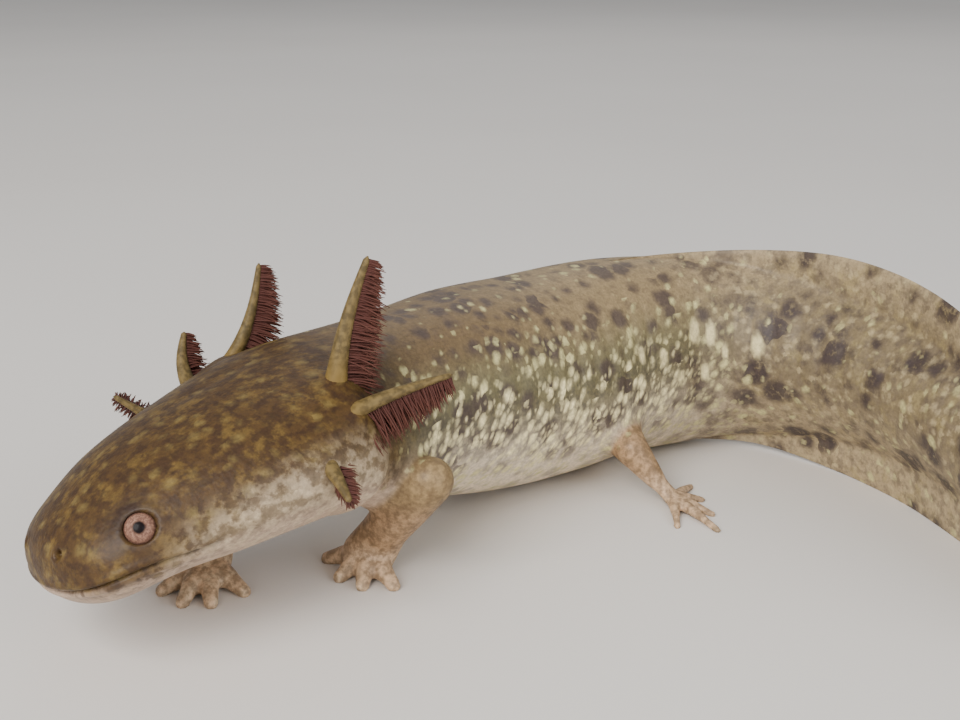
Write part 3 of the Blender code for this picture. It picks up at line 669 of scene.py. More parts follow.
def press_gill(points, root, tip):
    """Raises a low mound round a gill's root, between the way out of the head and the gill's own way."""
    start = head_point(*root)
    way = unit(np.array(tip) - start)
    outward = unit(start - head_point(root[0], 0.0, 0.0))
    axial, radius = from_line(points, start, way)
    gate = plateau(axial, *GILL_MOUND_SPAN) * smooth(-1.0, 1.0, (points - start) @ outward)
    height = GILL_MOUND * min(1.0, np.linalg.norm(np.array(tip) - start) / GILL_MOUND_FULL)
    lift = height * bell(radius, GILL_MOUND_WIDTH) * gate
    return points + lift[..., None] * unit(way + outward)


def press_limb(points, joints, radius):
    """Raises a low mound where a leg leaves the body, as a bell round the leg's first length."""
    start = np.array(joints[0])
    way = unit(np.array(joints[1]) - start)
    axial, gap = from_line(points, start, way)
    lift = LIMB_MOUND * bell(gap, radius * LIMB_MOUND_WIDTH) * plateau(axial, *LIMB_MOUND_SPAN)
    return points + lift[..., None] * way


def halving_strip(ring, first):
    """Triangles from a ring of vertex numbers to one with half as many, numbered from first."""
    coarse = ring[::2]
    between = ring[1::2]
    coarse_next = np.roll(coarse, -1)
    below = first + np.arange(len(coarse))
    below_next = np.roll(below, -1)
    return np.concatenate(
        [
            np.stack([coarse, between, below], axis=-1),
            np.stack([between, below_next, below], axis=-1),
            np.stack([between, coarse_next, below_next], axis=-1),
        ]
    )


def make_body():
    """Head and body as one closed grid, with its folds, and a round end at the snout and tail."""
    head_along = HEAD_END * (np.arange(1, HEAD_ROWS + 1) / HEAD_ROWS) ** 2
    body_along = np.arange(HEAD_END + BODY_STEP, BODY_LENGTH - TAIL_FINE, BODY_STEP)
    end_share = (np.arange(TAIL_ROWS, 0, -1) - 0.5) / TAIL_ROWS
    end_along = BODY_LENGTH - TAIL_FINE * end_share**2
    grids = []
    for along, columns in (
        (head_along, 2 * BODY_COLUMNS),
        (np.concatenate([body_along, end_along]), BODY_COLUMNS),
    ):
        points, straight = skin_rows(along, columns)
        normals = grid_normals(points, frames_at(along)[0])
        relief = trunk_relief(straight) + head_relief(straight)
        points = points + normals * relief[..., None]
        for side in (1, -1):
            points = press_eye(points, side)
            points = press_nostril(points, side)
        for root, tip, _ in GILLS.values():
            points = press_gill(points, root, tip)
        for plan in LEGS.values():
            points = press_limb(points, plan["joints"], plan["radii"][0])
        grids.append(points)
    head, body = grids
    fine = 2 * BODY_COLUMNS
    points = np.concatenate([head.reshape(-1, 3), body.reshape(-1, 3)])
    body_first = head.shape[0] * fine
    strip = halving_strip(body_first - fine + np.arange(fine), body_first)
    poles = np.array([head[0].mean(axis=0), body[-1].mean(axis=0)])
    count = len(points)
    points = np.concatenate([points, poles])
    points[:, 2] = np.maximum(points[:, 2], 0.0)
    end_ring = count - BODY_COLUMNS + np.arange(BODY_COLUMNS)
    triangles = np.concatenate([strip, fan(np.arange(fine), count, True), fan(end_ring, count + 1)])
    quads = np.concatenate(
        [tube_faces(head.shape[0], fine), tube_faces(body.shape[0], BODY_COLUMNS, body_first)]
    )
    return make_mesh("skin", points, quads, triangles)


def circles(way, helper, sides, flat=1.0):
    """A circle square to each direction, as offsets: cos(turn) sideways plus flat times sin(turn) up."""
    side = unit(np.cross(way, helper))
    up = np.cross(side, way)
    turn = (2 * np.pi * np.arange(sides) / sides)[:, None]
    return np.cos(turn) * side[..., None, :] + flat * np.sin(turn) * up[..., None, :]


def tube_rings(path, radii, sides, flat=1.0):
    """Rings round a path: each point plus the radius times a circle square to the path's direction."""
    way = unit(np.gradient(path, axis=0))
    mean = np.abs(way.mean(axis=0))
    helper = np.eye(3)[np.argmin(mean)] if mean[2] > 0.8 else np.array((0.0, 0.0, 1.0))
    return path[:, None] + radii[:, None, None] * circles(way, helper, sides, flat)


def round_path(joints, radii, number):
    """A smooth path through the joints with a round end beyond each, as points and radii."""
    joints = np.array(joints)
    steps = np.linalg.norm(np.diff(joints, axis=0), axis=1)
    place = np.concatenate(([0.0], np.cumsum(steps)))
    s = np.linspace(0, place[-1], number)
    path = hermite(s, place, joints)
    size = hermite(s, place, np.array(radii, float))
    dome = np.radians(np.array((75.0, 50.0, 25.0)))
    start_way = unit(path[0] - path[1])
    end_way = unit(path[-1] - path[-2])
    path = np.concatenate(
        [
            path[0] + start_way * size[0] * np.sin(dome)[:, None],
            path,
            path[-1] + end_way * size[-1] * np.sin(dome[::-1])[:, None],
        ]
    )
    size = np.concatenate([size[0] * np.cos(dome), size, size[-1] * np.cos(dome[::-1])])
    return path, size


def closed_tube(rings, first):
    """Points and faces of a tube with a pole at each end."""
    rows, columns = rings.shape[:2]
    points = np.concatenate([rings.reshape(-1, 3), rings[0].mean(0)[None], rings[-1].mean(0)[None]])
    start = first + np.arange(columns)
    end = start + (rows - 1) * columns
    triangles = np.concatenate(
        [fan(start, first + rows * columns, True), fan(end, first + rows * columns + 1)]
    )
    return points, tube_faces(rows, columns, first), triangles


def digit_rings(kind, palm, place):
    """Rings of a finger or toe: a bowed line from the palm to the tip, thinner outwards.

    The bow is a half sine. The radius falls with the share that is left to the power of the taper, and
    has a little more all along, but half of that in a bell near the tip.
    """
    tip = np.array((*place, TIP_HEIGHT[kind]))
    root = palm + (tip - palm) * DIGIT_START
    root[2] = min(root[2], DIGIT_HEIGHT)
    share = np.linspace(0, 1, 8)[:, None]
    bend = np.array((0.0, 0.0, DIGIT_BOW[kind])) * np.sin(np.pi * share)
    size = DIGIT_TIP[kind] + (DIGIT_ROOT[kind] - DIGIT_TIP[kind]) * (1 - share[:, 0]) ** DIGIT_TAPER
    size = size + DIGIT_PLUMP * (1 - 0.5 * bell(share[:, 0] - DIGIT_PLUMP_AT, DIGIT_PLUMP_WIDTH))
    end = tip - unit(tip - root) * DIGIT_TIP[kind] * 0.6
    return tube_rings(*round_path(root + (end - root) * share + bend, size, 16), 16)


def make_limb(name, plan):
    """A leg as rods between its joints, a flat palm and bent digits, melted into one smooth form."""
    kind = name.split("_")[0]
    joints = np.array(plan["joints"])
    radii = plan["radii"]
    parts = []
    for i in range(3):
        ends = joints[i : i + 2], radii[i : i + 2]
        parts.append(tube_rings(*round_path(*ends, 8), 24, PALM_FLAT if i == 2 else 1.0))
    for place in plan["tips"]:
        parts.append(digit_rings(kind, joints[3], place))
    points, quads, triangles = [], [], []
    first = 0
    for rings in parts:
        p, q, t = closed_tube(rings, first)
        points.append(p)
        quads.append(q)
        triangles.append(t)
        first += len(p)
    made = make_mesh(name, np.concatenate(points), np.concatenate(quads), np.concatenate(triangles))
    step = made.modifiers.new("melt", "REMESH")
    step.mode = "VOXEL"
    step.voxel_size = LEG_VOXEL * MM
    apply_modifiers(made)
    edges = read_edges(made)
    co = read_points(made)
    for weight in LEG_SMOOTHING:
        co = relax(co, edges, weight, 2)
    bends = zip(joints[1:3], radii[1:3])
    fold = np.minimum.reduce([np.linalg.norm(co - joint, axis=-1) - size for joint, size in bends])
    co = relax(co, edges, 0.5 * smooth(2.2, 0.6, fold), 14)
    co[:, 2] = np.maximum(co[:, 2], 0.0)
    write_points(made, co)
    return made


def limb_distance(points):
    """Distance of points from the nearest leg's middle line, less the leg's radius there.

    The line runs from the first joint to the last, without the round ends.
    """
    nearest = np.full(len(points), 1e3)
    for plan in LEGS.values():
        path, size = round_path(plan["joints"], plan["radii"], 40)
        gap = np.linalg.norm(points[:, None] - path[3:-3][None], axis=-1) - size[3:-3][None]
        nearest = np.minimum(nearest, gap.min(axis=1))
    return nearest


def straighten(points):
    """Places along, across and above the spine, each from the spine's nearest point."""
    along = np.linspace(0, BODY_LENGTH, 420)
    middle, back, left, up = frames_at(along)
    result = np.empty((len(points), 3))
    for start in range(0, len(points), 20000):
        some = points[start : start + 20000]
        gap = ((some[:, None] - middle[None]) ** 2).sum(axis=-1)
        best = gap.argmin(axis=1)
        offset = some - middle[best]
        result[start : start + 20000, 0] = along[best] + np.sum(offset * back[best], axis=-1)
        result[start : start + 20000, 1] = np.sum(offset * left[best], axis=-1)
        result[start : start + 20000, 2] = np.sum(offset * up[best], axis=-1)
    return result


def body_distance(straight):
    """Rough distance outside the body's plain surface: (relative radius less 1) times the radius."""
    section = section_at(np.clip(straight[:, 0], 0.5, BODY_LENGTH - 0.5))
    height = np.where(straight[:, 2] >= 0, section[:, 1], section[:, 2])
    relative = np.hypot(straight[:, 1] / np.maximum(section[:, 0], 1.0), straight[:, 2] / height)
    return (relative - 1) * np.hypot(straight[:, 1], straight[:, 2]) / np.maximum(relative, 0.1)


def store(made, name, values, kind="FLOAT_VECTOR"):
    """Puts an array of values on the vertices as a named attribute."""
    layer = made.data.attributes.new(name, kind, "POINT")
    key = "color" if kind == "FLOAT_COLOR" else "vector" if kind == "FLOAT_VECTOR" else "value"
    layer.data.foreach_set(key, np.ascontiguousarray(values, np.float32).ravel())


def mix(a, b, share):
    """Colour a where share is 0 and b where it is 1."""
    return a + (b - a) * np.asarray(share)[..., None]


def bar_share(points):
    """1 inside a pale bar, each an upright ellipsoid, with a soft edge."""
    share = np.zeros(len(points))
    for *middle, tall, wide in TAIL_BARS:
        gap = np.linalg.norm((points - np.array(middle)) / np.array((wide, BAR_DEPTH, tall)), axis=-1)
        share = np.maximum(share, smooth(*BAR_EDGE, gap))
    return share


def orbit_shares(points, side):
    """Shares of the dark skin round an eye, most in front of it and above, and of its lids."""
    offset = points - eye_place(side)[0]
    gap = np.linalg.norm(offset, axis=-1)
    lean = 0.45 + 0.55 * (offset @ unit(np.array(ORBIT_WAY))) / np.maximum(gap, 0.1)
    return smooth(*ORBIT_REACH, gap) * np.clip(lean, 0.12, 1), smooth(*LID_REACH, gap)


def paint_skin(made, points, straight, outside):
    """Ground colour, and two sets of amounts for the pattern, from the place on the body.

    The first set holds flecks, spots and the head's mottles; the second holds the flank's dark ground,
    the tail's blotches and the cheek's marbling.
    """
    along, _, up = straight.T
    section = section_at(np.clip(along, 0.5, BODY_LENGTH - 0.5))
    rise = np.clip(up / np.where(up >= 0, section[:, 1], section[:, 2]), -1.2, 1.2)
    height = points[:, 2]
    limb = smooth(*LIMB_FIELD, outside) * smooth(*LIMB_REACH, limb_distance(points))
    head = smooth(*HEAD_FIELD, along)
    tail = smooth(*TAIL_FIELD, along)
    ground = mix(mix(BACK_FRONT, BACK, smooth(*BACK_FIELD, along)), FLANK, smooth(*FLANK_RISE, rise))
    ground = mix(ground, BELLY, smooth(*BELLY_RISE, rise))
    cheek_top = CHEEK_TOP + CHEEK_TOP_REAR * smooth(8, 24, along)
    cheek = plateau(along, *CHEEK_SPAN) * smooth(cheek_top, cheek_top - CHEEK_TALL, rise)
    throat = smooth(*THROAT_RISE, rise + 0.1 * smooth(30, 36, along))
    ground = mix(ground, mix(mix(HEAD_TOP, HEAD_SIDE, cheek), THROAT, throat), head)
    # Paler tail colour: the fin's own paler top edge, and below the middle painted light that lightens the
    # lower side against its shade
    fin_edge_and_underside_light = np.maximum(smooth(0.5, 0.95, rise), smooth(0.1, -0.6, rise))
    ground = mix(ground, mix(TAIL, TAIL_EDGE_AND_UNDERSIDE_LIGHT, fin_edge_and_underside_light), tail)
    leg = mix(mix(LEG, PAW, smooth(*PAW_HEIGHT, height)), ELBOW, 0.6 * smooth(*ELBOW_HEIGHT, height))
    ground = mix(ground, leg, limb)
    band = bell(rise - 0.05, 0.3) * tail * smooth(160, 110, along)
    ground = mix(ground, SLATE, 0.2 * band * (1 - limb))
    orbit = np.zeros(len(points))
    for side in (1, -1):
        rim, lids = orbit_shares(points, side)
        orbit = np.maximum(orbit, rim)
        ground = mix(ground, EYE_SKIN, rim * 0.9)
        ground = mix(ground, EYE_SKIN * 0.8, lids)
    body = (1 - head) * (1 - limb)
    fleck = body * (0.1 + 0.46 * smooth(0.86, 0.45, rise) + 0.4 * smooth(0.3, -0.2, rise))
    fleck = fleck * (1 - 0.4 * smooth(-0.6, -0.85, rise)) * (1 - 0.85 * smooth(102, 120, along))
    fleck = fleck + 0.25 * (1 - head) * limb * smooth(3.0, 1.0, outside)
    spot = body * (0.85 - 0.4 * smooth(-0.2, -0.7, rise)) * smooth(124, 100, along)
    mottle = head * smooth(-0.75, -0.35, rise) * (1 - 0.75 * cheek) * (1 - limb) * (1 - 0.75 * orbit)
    slate = body * (0.3 + 0.7 * smooth(0.62, 0.0, rise)) * smooth(-1.0, -0.1, rise) * (1 - 0.8 * tail)
    alpha = np.ones((len(ground), 1))
    store(made, "ground", np.concatenate([ground, alpha], axis=1), "FLOAT_COLOR")
    store(made, "straight", straight)
    store(made, "marks", np.clip(np.stack([fleck, spot, mottle], axis=1), 0, 1))
    store(made, "leg", limb, "FLOAT")
    store(made, "bars", bar_share(points), "FLOAT")
    store(made, "fields", np.clip(np.stack([slate, tail * (1 - limb), cheek * head], axis=1), 0, 1))


def make_skin():
    """The body's grid and the four legs made one, with the legs' roots smoothed into the flanks."""
    skin = make_body()
    for name, plan in LEGS.items():
        limb = make_limb(name, plan)
        step = skin.modifiers.new("join", "BOOLEAN")
        step.operation = "UNION"
        step.solver = "MANIFOLD"
        step.object = limb
        apply_modifiers(skin)
        bpy.data.objects.remove(limb)
    points = read_points(skin)
    edges = read_edges(skin)
    straight = straighten(points)
    near_body = bell(body_distance(straight) - SEAM_OFFSET, SEAM_WIDTH)
    near_limb = bell(limb_distance(points), SEAM_WIDTH)
    points = relax(points, edges, SEAM_WEIGHT * near_body * near_limb, SEAM_ROUNDS)
    points[:, 2] = np.maximum(points[:, 2], 0.0)
    write_points(skin, points)
    straight = straighten(points)
    paint_skin(skin, points, straight, body_distance(straight))
    return skin


def filament_lines(path, share, length, seed):
    """Starts, directions, droops and lengths of the filaments, in rows behind the stalk.

    Each leaves square to the stalk, as near as that allows to backwards and downwards, then turned by
    its row and leaning a little towards the stalk's tip.
    """
    chance = np.random.default_rng(seed)
    number = int(length * FILAMENT_SPAN / FILAMENT_STEP)
    lines = []
    for row in np.linspace(-1, 1, FILAMENT_ROWS):
        t = FILAMENT_FIRST + FILAMENT_SPAN * (np.arange(number) + chance.uniform(0.1, 0.9, number)) / number
        start = hermite(t, share, path)
        way = unit(hermite(np.minimum(t + 0.03, 1), share, path) - hermite(t - 0.03, share, path))
        wish = np.array(FILAMENT_WISH)
        square = unit(wish - way * (way @ wish)[:, None])
        other = np.cross(way, square)
        turn = np.radians(FILAMENT_SPREAD * row + chance.uniform(-10, 10, number))[:, None]
        forwards = way * chance.uniform(0.0, 0.4, number)[:, None]
        leave = square * np.cos(turn) + other * np.sin(turn) + forwards
        reach = FILAMENT_LONG + (FILAMENT_SHORT - FILAMENT_LONG) * t
        reach = reach * (1 - 0.45 * t**8) * min(1.0, length / FILAMENT_FULL)
        reach = reach * chance.uniform(0.86, 1.05, number)
        droop = np.array(FILAMENT_DROOP) + chance.normal(0, 0.07, (number, 3))
        lines.append((start, unit(leave), droop, reach))
    return [np.concatenate(column) for column in zip(*lines)]


def make_gill(name, root, tip, bow, seed):
    """A tapered stalk with rows of fine drooping filaments behind it.

    The stalk's path is the line from root to tip plus the bow times a half sine. A filament bends by its
    droop times the square of the share of its length, and tapers with the square root of the share that
    is left. The attribute depth rises from -1 to 0 along the stalk, and from 0.2 to 1 along a filament.
    """
    inward = head_point(*root)
    tip = np.array(tip)
    share = np.linspace(0, 1, STALK_ROWS)
    path = inward + (tip - inward) * share[:, None] + np.array(bow) * np.sin(np.pi * share)[:, None]
    radii = STALK_ROOT + (STALK_TIP - STALK_ROOT) * share + STALK_FLARE * bell(share, STALK_FLARED)
    radii[-1] = STALK_END
    stalk = tube_rings(path, radii, STALK_SIDES, STALK_FLAT)
    points, quads, triangles = closed_tube(stalk, 0)
    start, leave, droop, reach = filament_lines(path, share, np.linalg.norm(tip - inward), seed)
    rings, corners = FILAMENT_RINGS, FILAMENT_SIDES
    s = np.linspace(0, 1, rings)[None, :, None]
    line = start[:, None] + reach[:, None, None] * (leave[:, None] * s + droop[:, None] * s**2)
    thick = FILAMENT_ROOT * (1 - s[..., 0]) ** 0.5 + FILAMENT_TIP
    circle = circles(unit(np.gradient(line, axis=1)), FILAMENT_HELPER, corners)
    fine = line[:, :, None] + thick[..., None, None] * circle
    count = len(fine)
    size = rings * corners
    first = len(points) + size * np.arange(count)[:, None, None]
    wall = (first + tube_faces(rings, corners)[None]).reshape(-1, 4)
    start_cap = first[:, 0] + np.arange(corners)[::-1][None]
    end_cap = first[:, 0] + size - corners + np.arange(corners)[None]
    far = 0.2 + 0.8 * np.repeat(s[0, :, 0], corners)
    along_stalk = np.concatenate([np.repeat(share, STALK_SIDES), [0.0, 1.0]])
    depth = np.concatenate([along_stalk - 1, np.tile(far, count)])
    made = make_mesh(
        name + "_plume",
        np.concatenate([points, fine.reshape(-1, 3)]),
        np.concatenate([quads, wall, start_cap, end_cap]),
        triangles,
    )
    store(made, "depth", depth, "FLOAT")
    return made


def make_eye(name, side):
    """A ball whose pole looks outwards; the attribute look holds the distance from that pole."""
    centre, outward = eye_place(side)
    level = unit(np.cross(outward, (0.0, 0.0, 1.0)))
    other = np.cross(outward, level)
    rows, columns = 48, 64
    polar = np.pi * (np.arange(1, rows) / rows)[:, None]
    turn = (2 * np.pi * np.arange(columns) / columns)[None]
    parts = np.cos(polar), np.sin(polar) * np.cos(turn), np.sin(polar) * np.sin(turn)
    local = np.stack(np.broadcast_arrays(*parts), axis=-1)
    axes = np.array([outward, level, other])
    points = centre + EYE_RADIUS * local.reshape(-1, 3) @ axes
    count = len(points)
    points = np.concatenate([points, [centre + outward * EYE_RADIUS, centre - outward * EYE_RADIUS]])
    ends = count - columns + np.arange(columns)
    triangles = np.concatenate([fan(np.arange(columns), count, True), fan(ends, count + 1)])
    made = make_mesh(name, points, tube_faces(rows - 1, columns), triangles)
    local = np.concatenate([local.reshape(-1, 3), [(1, 0, 0), (-1, 0, 0)]])
    store(made, "look", local)
    return made


def feed(tree, socket, value):
    """Links an output to an input socket, or sets the input to a number, a vector or a colour's array."""
    if isinstance(value, bpy.types.NodeSocket):
        tree.links.new(value, socket)
    elif isinstance(value, np.ndarray):
        socket.default_value = (*value, 1.0)
    else:
        socket.default_value = value


def add(tree, kind, *fed, **values):
    """A node: fed goes to its inputs in order, each named value to its setting or its socket."""
    made = tree.nodes.new(kind)
    for i, value in enumerate(fed):
        feed(tree, made.inputs[i], value)
    for key, value in values.items():
        if hasattr(made, key):
            setattr(made, key, value)
        else:
            feed(tree, made.inputs[key.replace("_", " ")], value)
    return made


def maths(tree, operation, a, b=0.5, clamp=False):
    """A Math node fed by sockets or numbers, as its output."""
    return add(tree, "ShaderNodeMath", a, b, operation=operation, use_clamp=clamp).outputs[0]


def vector_maths(tree, operation, *fed, **values):
    """A Vector Math node fed by sockets or vectors, as its output."""
    return add(tree, "ShaderNodeVectorMath", *fed, operation=operation, **values).outputs[0]


def blend(tree, share, a, b):
    """A colour Mix node fed by sockets or colours, as its output."""
    made = add(tree, "ShaderNodeMix", share, data_type="RGBA")
    feed(tree, made.inputs[6], a)
    feed(tree, made.inputs[7], b)
    return made.outputs[2]


def step_up(tree, value, low, high):
    """0 up to low and 1 from high on, smooth between, as an output."""
    ends = {"From Min": low, "From Max": high}
    return add(tree, "ShaderNodeMapRange", value, interpolation_type="SMOOTHSTEP", **ends).outputs["Result"]


def attribute(tree, name):
    return add(tree, "ShaderNodeAttribute", attribute_name=name)


def new_group(name, inputs, outputs):
    """A shader node group with named sockets, its input node and its output node."""
    group = bpy.data.node_groups.new(name, "ShaderNodeTree")
    for label, kind, value in inputs:
        socket = group.interface.new_socket(label, in_out="INPUT", socket_type=kind)
        if value is not None:
            socket.default_value = value
    for label, kind in outputs:
        group.interface.new_socket(label, in_out="OUTPUT", socket_type=kind)
    return group, group.nodes.new("NodeGroupInput"), group.nodes.new("NodeGroupOutput")


def spots_group():
    """Uneven spots: cells of a given spacing, some of them holding a spot of a varied size."""
    group, given, out = new_group(
        "spots",
        (
            ("Place", "NodeSocketVector", None),
            ("Spacing", "NodeSocketFloat", 1.0),
            ("Size", "NodeSocketFloat", 0.3),
            ("Share", "NodeSocketFloat", 0.5),
            ("Wobble", "NodeSocketFloat", 0.5),
            ("Soft", "NodeSocketFloat", 0.1),
        ),
        (("Mask", "NodeSocketFloat"),),
    )
    place, spacing, full, share, wobble, soft = (given.outputs[i] for i in range(6))
    scale = maths(group, "DIVIDE", 1.0, spacing)
    finer = maths(group, "MULTIPLY", scale, 1.7)
    noise = add(group, "ShaderNodeTexNoise", Vector=place, Scale=finer, Detail=2.0)
    centred = vector_maths(group, "SUBTRACT", noise.outputs["Color"], (0.5, 0.5, 0.5))
    strength = maths(group, "MULTIPLY", wobble, spacing)
    moved = vector_maths(group, "ADD", place, vector_maths(group, "SCALE", centred, Scale=strength))
    cells = add(group, "ShaderNodeTexVoronoi", feature="F1", Vector=moved, Scale=scale)
    random = add(group, "ShaderNodeSeparateColor", cells.outputs["Color"])
    holds = maths(group, "LESS_THAN", random.outputs[1], share)
    size = maths(group, "MULTIPLY", full, maths(group, "ADD", random.outputs[0], 0.5))
    inside = maths(group, "SUBTRACT", size, cells.outputs["Distance"])
    ramp = maths(group, "ADD", maths(group, "DIVIDE", inside, soft), 0.5, True)
    mask = step_up(group, ramp, 0.0, 1.0)
    group.links.new(maths(group, "MULTIPLY", mask, holds), out.inputs["Mask"])
    return group


def grain_group():
    """Fine moist grain: small bumps over shallow wrinkles, as a height."""
    group, given, out = new_group(
        "skin_grain",
        (("Place", "NodeSocketVector", None), ("Spacing", "NodeSocketFloat", 0.5)),
        (("Height", "NodeSocketFloat"),),
    )
    place = given.outputs["Place"]
    scale = maths(group, "DIVIDE", 1.0, given.outputs["Spacing"])
    coarser = maths(group, "MULTIPLY", scale, 0.35)
    values = {"Vector": place, "Scale": scale, "Smoothness": 0.6}
    cells = add(group, "ShaderNodeTexVoronoi", feature="SMOOTH_F1", **values)
    noise = add(group, "ShaderNodeTexNoise", Vector=place, Scale=coarser, Detail=4.0, Roughness=0.6)
    bumps = maths(group, "MULTIPLY", cells.outputs["Distance"], 0.5)
    group.links.new(maths(group, "SUBTRACT", noise.outputs[0], bumps), out.inputs["Height"])
    return group


def new_material(name, roughness, coat, coat_roughness, specular=0.5):
    """A material with a Principled shader whose constant values are set on its own sockets."""
    material = bpy.data.materials.new(name)
    material.use_nodes = True
    tree = material.node_tree
    shader = tree.nodes["Principled BSDF"]
    shader.inputs["Roughness"].default_value = roughness
    shader.inputs["Coat Weight"].default_value = coat
    shader.inputs["Coat Roughness"].default_value = coat_roughness
    shader.inputs["Specular IOR Level"].default_value = specular
    return material, tree, shader


def place_group(tree, group, place, **values):
    """The outputs of a group's node, which is fed coordinates and values."""
    return add(tree, "ShaderNodeGroup", node_tree=group, Place=place, **values).outputs


def skin_material(spots, grain):
    """Mottled ground with slate patches, dark blotches and cream flecks, over fine moist grain.

    Each place's pattern keeps to masks from the skin's attributes. The flecks' coordinates lean and are
    stretched upwards, and the colour is made darker and lighter by noise at the end.
    """
    material, tree, shader = new_material("moist_skin", 0.55, 0.05, 0.2, 0.28)

    def split(vector):
        return add(tree, "ShaderNodeSeparateXYZ", vector).outputs

    def times(a, b):
        return maths(tree, "MULTIPLY", a, b)

    objects = add(tree, "ShaderNodeTexCoord").outputs["Object"]
    turned = add(tree, "ShaderNodeMapping", objects, Rotation=(0, 0, -TRUNK_TURN), Scale=(1 / MM,) * 3)
    places = {"straight": attribute(tree, "straight").outputs["Vector"], "still": turned.outputs[0]}
    noises = {}
    for name, (place, scale, detail) in NOISES.items():
        values = {"Vector": places[place], "Scale": scale, "Detail": detail, "Roughness": 0.6}
        noises[name] = add(tree, "ShaderNodeTexNoise", **values).outputs[0]
    coarse = noises["coarse"]

    fleck, spot, mottle = split(attribute(tree, "marks").outputs["Vector"])
    slate, tail, cheek = split(attribute(tree, "fields").outputs["Vector"])
    masks = {"spot": spot, "mottle": mottle, "slate": slate, "tail": tail, "cheek": cheek}
    masks["leg"] = attribute(tree, "leg").outputs["Fac"]
    masks["broken_tail"] = times(step_up(tree, coarse, *BREAKS), tail)
    colour = attribute(tree, "ground").outputs["Color"]
    for paint, mask, amount, source, *values in LAYERS:
        if source in noises:
            shown = step_up(tree, noises[source], *values)
        else:
            shown = place_group(tree, spots, places[source], **dict(zip(SPOT_VALUES, values)))[0]
        colour = blend(tree, times(shown, times(masks[mask], amount)), colour, paint)

    x, y, z = split(places["still"])
    lean = maths(tree, "SUBTRACT", x, times(z, FLECK_LEAN))
    stretched = (times(value, factor) for value, factor in zip((lean, y, z), FLECK_STRETCH))
    slanted = add(tree, "ShaderNodeCombineXYZ", *stretched).outputs[0]
    large = place_group(tree, spots, slanted, Spacing=1.45, Size=0.34, Share=fleck, Wobble=0.45, Soft=0.5)
    few = times(fleck, 0.6)
    tiny = place_group(tree, spots, slanted, Spacing=0.85, Size=0.36, Share=few, Wobble=0.45, Soft=0.5)
    flecks = maths(tree, "MAXIMUM", large[0], times(tiny[0], 0.6))
    uneven = maths(tree, "ADD", times(coarse, 1.1), 0.34, True)
    cream = blend(tree, step_up(tree, slate, 0.25, 1.0), CREAM_HIGH, CREAM)
    colour = blend(tree, times(flecks, uneven), colour, cream)
    colour = blend(tree, attribute(tree, "bars").outputs["Fac"], colour, BAR)
    rough = maths(tree, "ADD", times(noises["fine"], 0.9), times(coarse, 0.8))
    shade = maths(tree, "ADD", rough, 0.15)
    feed(tree, shader.inputs["Base Color"], vector_maths(tree, "SCALE", colour, Scale=shade))

    height = place_group(tree, grain, places["straight"], Spacing=0.42)["Height"]
    bump = add(tree, "ShaderNodeBump", Height=height, Strength=0.4, Distance=0.00016)
    feed(tree, shader.inputs["Normal"], bump.outputs[0])
    return material


def gill_material():
    """Olive stalk that turns to dark maroon filaments, a little paler at their ends."""
    material, tree, shader = new_material("gill_plume", 0.6, 0.0, 0.3, 0.25)
    depth = attribute(tree, "depth").outputs["Fac"]
    place = add(tree, "ShaderNodeTexCoord").outputs["Object"]
    noise = add(tree, "ShaderNodeTexNoise", Vector=place, Scale=1400.0, Detail=3.0)
    stalk = blend(tree, step_up(tree, noise.outputs[0], 0.35, 0.65), RACHIS * 0.55, RACHIS * 1.15)
    stalk = blend(tree, step_up(tree, depth, -0.55, -0.9), stalk, GOLD)
    colour = blend(tree, step_up(tree, depth, 0.02, 0.25), stalk, FILAMENT)
    tip = maths(tree, "MULTIPLY", step_up(tree, depth, 0.5, 1.0), 0.6)
    feed(tree, shader.inputs["Base Color"], blend(tree, tip, colour, FILAMENT_END))
    return material


def eye_material():
    """Copper iris with fine rays round a dark pupil, and a dark outer rim, under a clear gloss.

    The look's first part is the cosine of the angle from the pupil, so the root of 1 less its square is
    the distance from the pupil's middle, 0 to 1.
    """
    material, tree, shader = new_material("eye", 0.45, 0.06, 0.06, 0.1)
    look = attribute(tree, "look").outputs["Vector"]
    cosine = add(tree, "ShaderNodeSeparateXYZ", look).outputs[0]
    polar = maths(tree, "SQRT", maths(tree, "SUBTRACT", 1.0, maths(tree, "POWER", cosine, 2.0)))
    rays = add(tree, "ShaderNodeTexNoise", Vector=look, Scale=7.0, Detail=4.0, Roughness=0.7)
    iris = blend(tree, step_up(tree, rays.outputs[0], 0.35, 0.7), IRIS_DARK, IRIS_PALE)
    ring = blend(tree, step_up(tree, polar, 0.27, 0.5), PUPIL, iris)
    feed(tree, shader.inputs["Base Color"], blend(tree, step_up(tree, polar, 0.8, 1.0), ring, IRIS_RIM))
    return material


def floor_material():
    material, tree, shader = new_material("pale_floor", 0.6, 0.0, 0.3)
    place = add(tree, "ShaderNodeTexCoord").outputs["Object"]
    noise = add(tree, "ShaderNodeTexNoise", Vector=place, Scale=6.0, Detail=3.0)
    feed(tree, shader.inputs["Base Color"], blend(tree, noise.outputs[0], FLOOR, FLOOR_PALE))
    return material


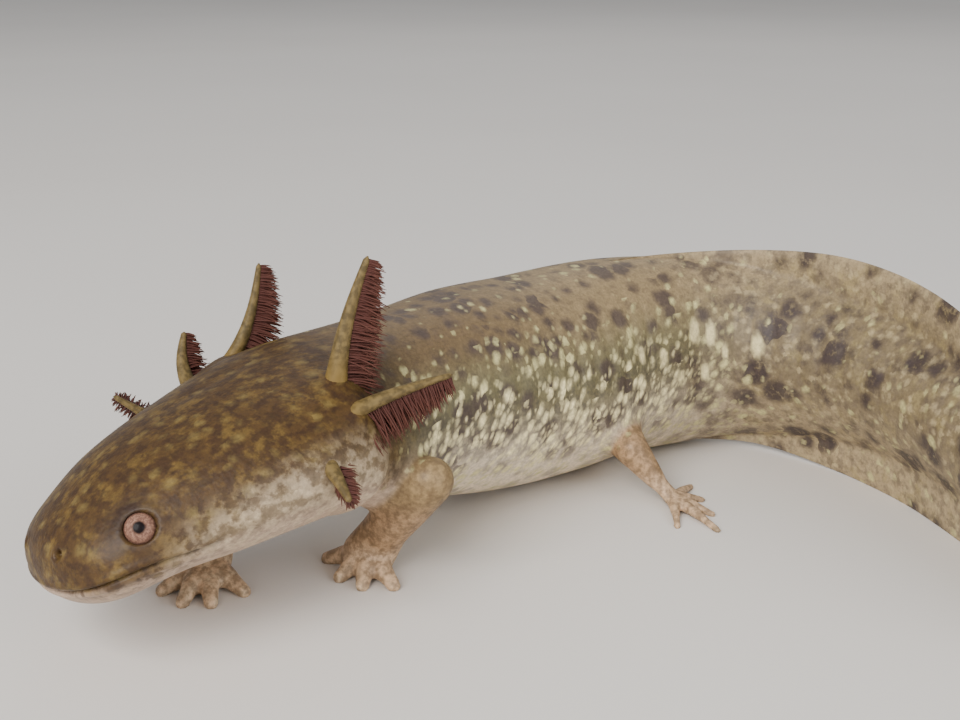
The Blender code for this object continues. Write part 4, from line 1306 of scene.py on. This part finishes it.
def make_floor():
    square = np.array(((-1, -1, 0), (1, -1, 0), (1, 1, 0), (-1, 1, 0))) * FLOOR_REACH
    made = make_mesh("floor", square + SHIFT, np.array([[0, 1, 2, 3]]))
    made.data.materials.append(floor_material())


def add_light(name, place, size, power, colour):
    """A soft square light at a place in metres that faces the animal."""
    lamp = bpy.data.lights.new(name, "AREA")
    lamp.size = size
    lamp.energy = power
    lamp.color = colour
    made = bpy.data.objects.new(name, lamp)
    bpy.context.scene.collection.objects.link(made)
    way = unit(np.array(LIGHT_TARGET) - np.array(place))
    made.location = place
    made.rotation_euler = (math.acos(-way[2]), 0.0, math.atan2(way[1], way[0]) - math.pi / 2)


def make_stage():
    """Floor, camera, soft lights and a pale surround."""
    make_floor()
    camera = bpy.data.cameras.new("camera")
    camera.sensor_width = SENSOR
    camera.lens = FOCAL_PIXELS / FRAME_PIXELS * SENSOR
    camera.clip_start = 0.005
    made = bpy.data.objects.new("camera", camera)
    bpy.context.scene.collection.objects.link(made)
    made.location = (-SHIFT[0] * MM, -SHIFT[1] * MM, CAMERA_HEIGHT * MM)
    made.rotation_euler = (math.radians(90 - CAMERA_PITCH), 0, 0)
    bpy.context.scene.camera = made
    for name, values in LIGHTS.items():
        add_light(name, *values)
    world = bpy.data.worlds.new("surround")
    world.use_nodes = True
    surround = world.node_tree.nodes["Background"]
    surround.inputs["Color"].default_value = SURROUND
    surround.inputs["Strength"].default_value = SURROUND_STRENGTH
    bpy.context.scene.world = world


def dress(made, material, slot, *nodes):
    """Finishes a piece: smooth faces, its material, what it stands for and its body. The slot is not used.
    """
    made.data.polygons.foreach_set("use_smooth", np.ones(len(made.data.polygons), bool))
    made.data.materials.clear()
    made.data.materials.append(material)
    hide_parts(*nodes)
    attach(made, "root")


spots = spots_group()
grain = grain_group()
dress(make_skin(), skin_material(spots, grain), "body_skin", *FLESH_NODES)
plume = gill_material()
for number, (name, (root, tip, bow)) in enumerate(GILLS.items()):
    dress(make_gill(name, root, tip, bow, number), plume, "gills", name)
iris = eye_material()
for word, side in (("left", 1), ("right", -1)):
    dress(make_eye(f"eye_{word}_iris", side), iris, "eyes", f"eye_{word}")
make_stage()
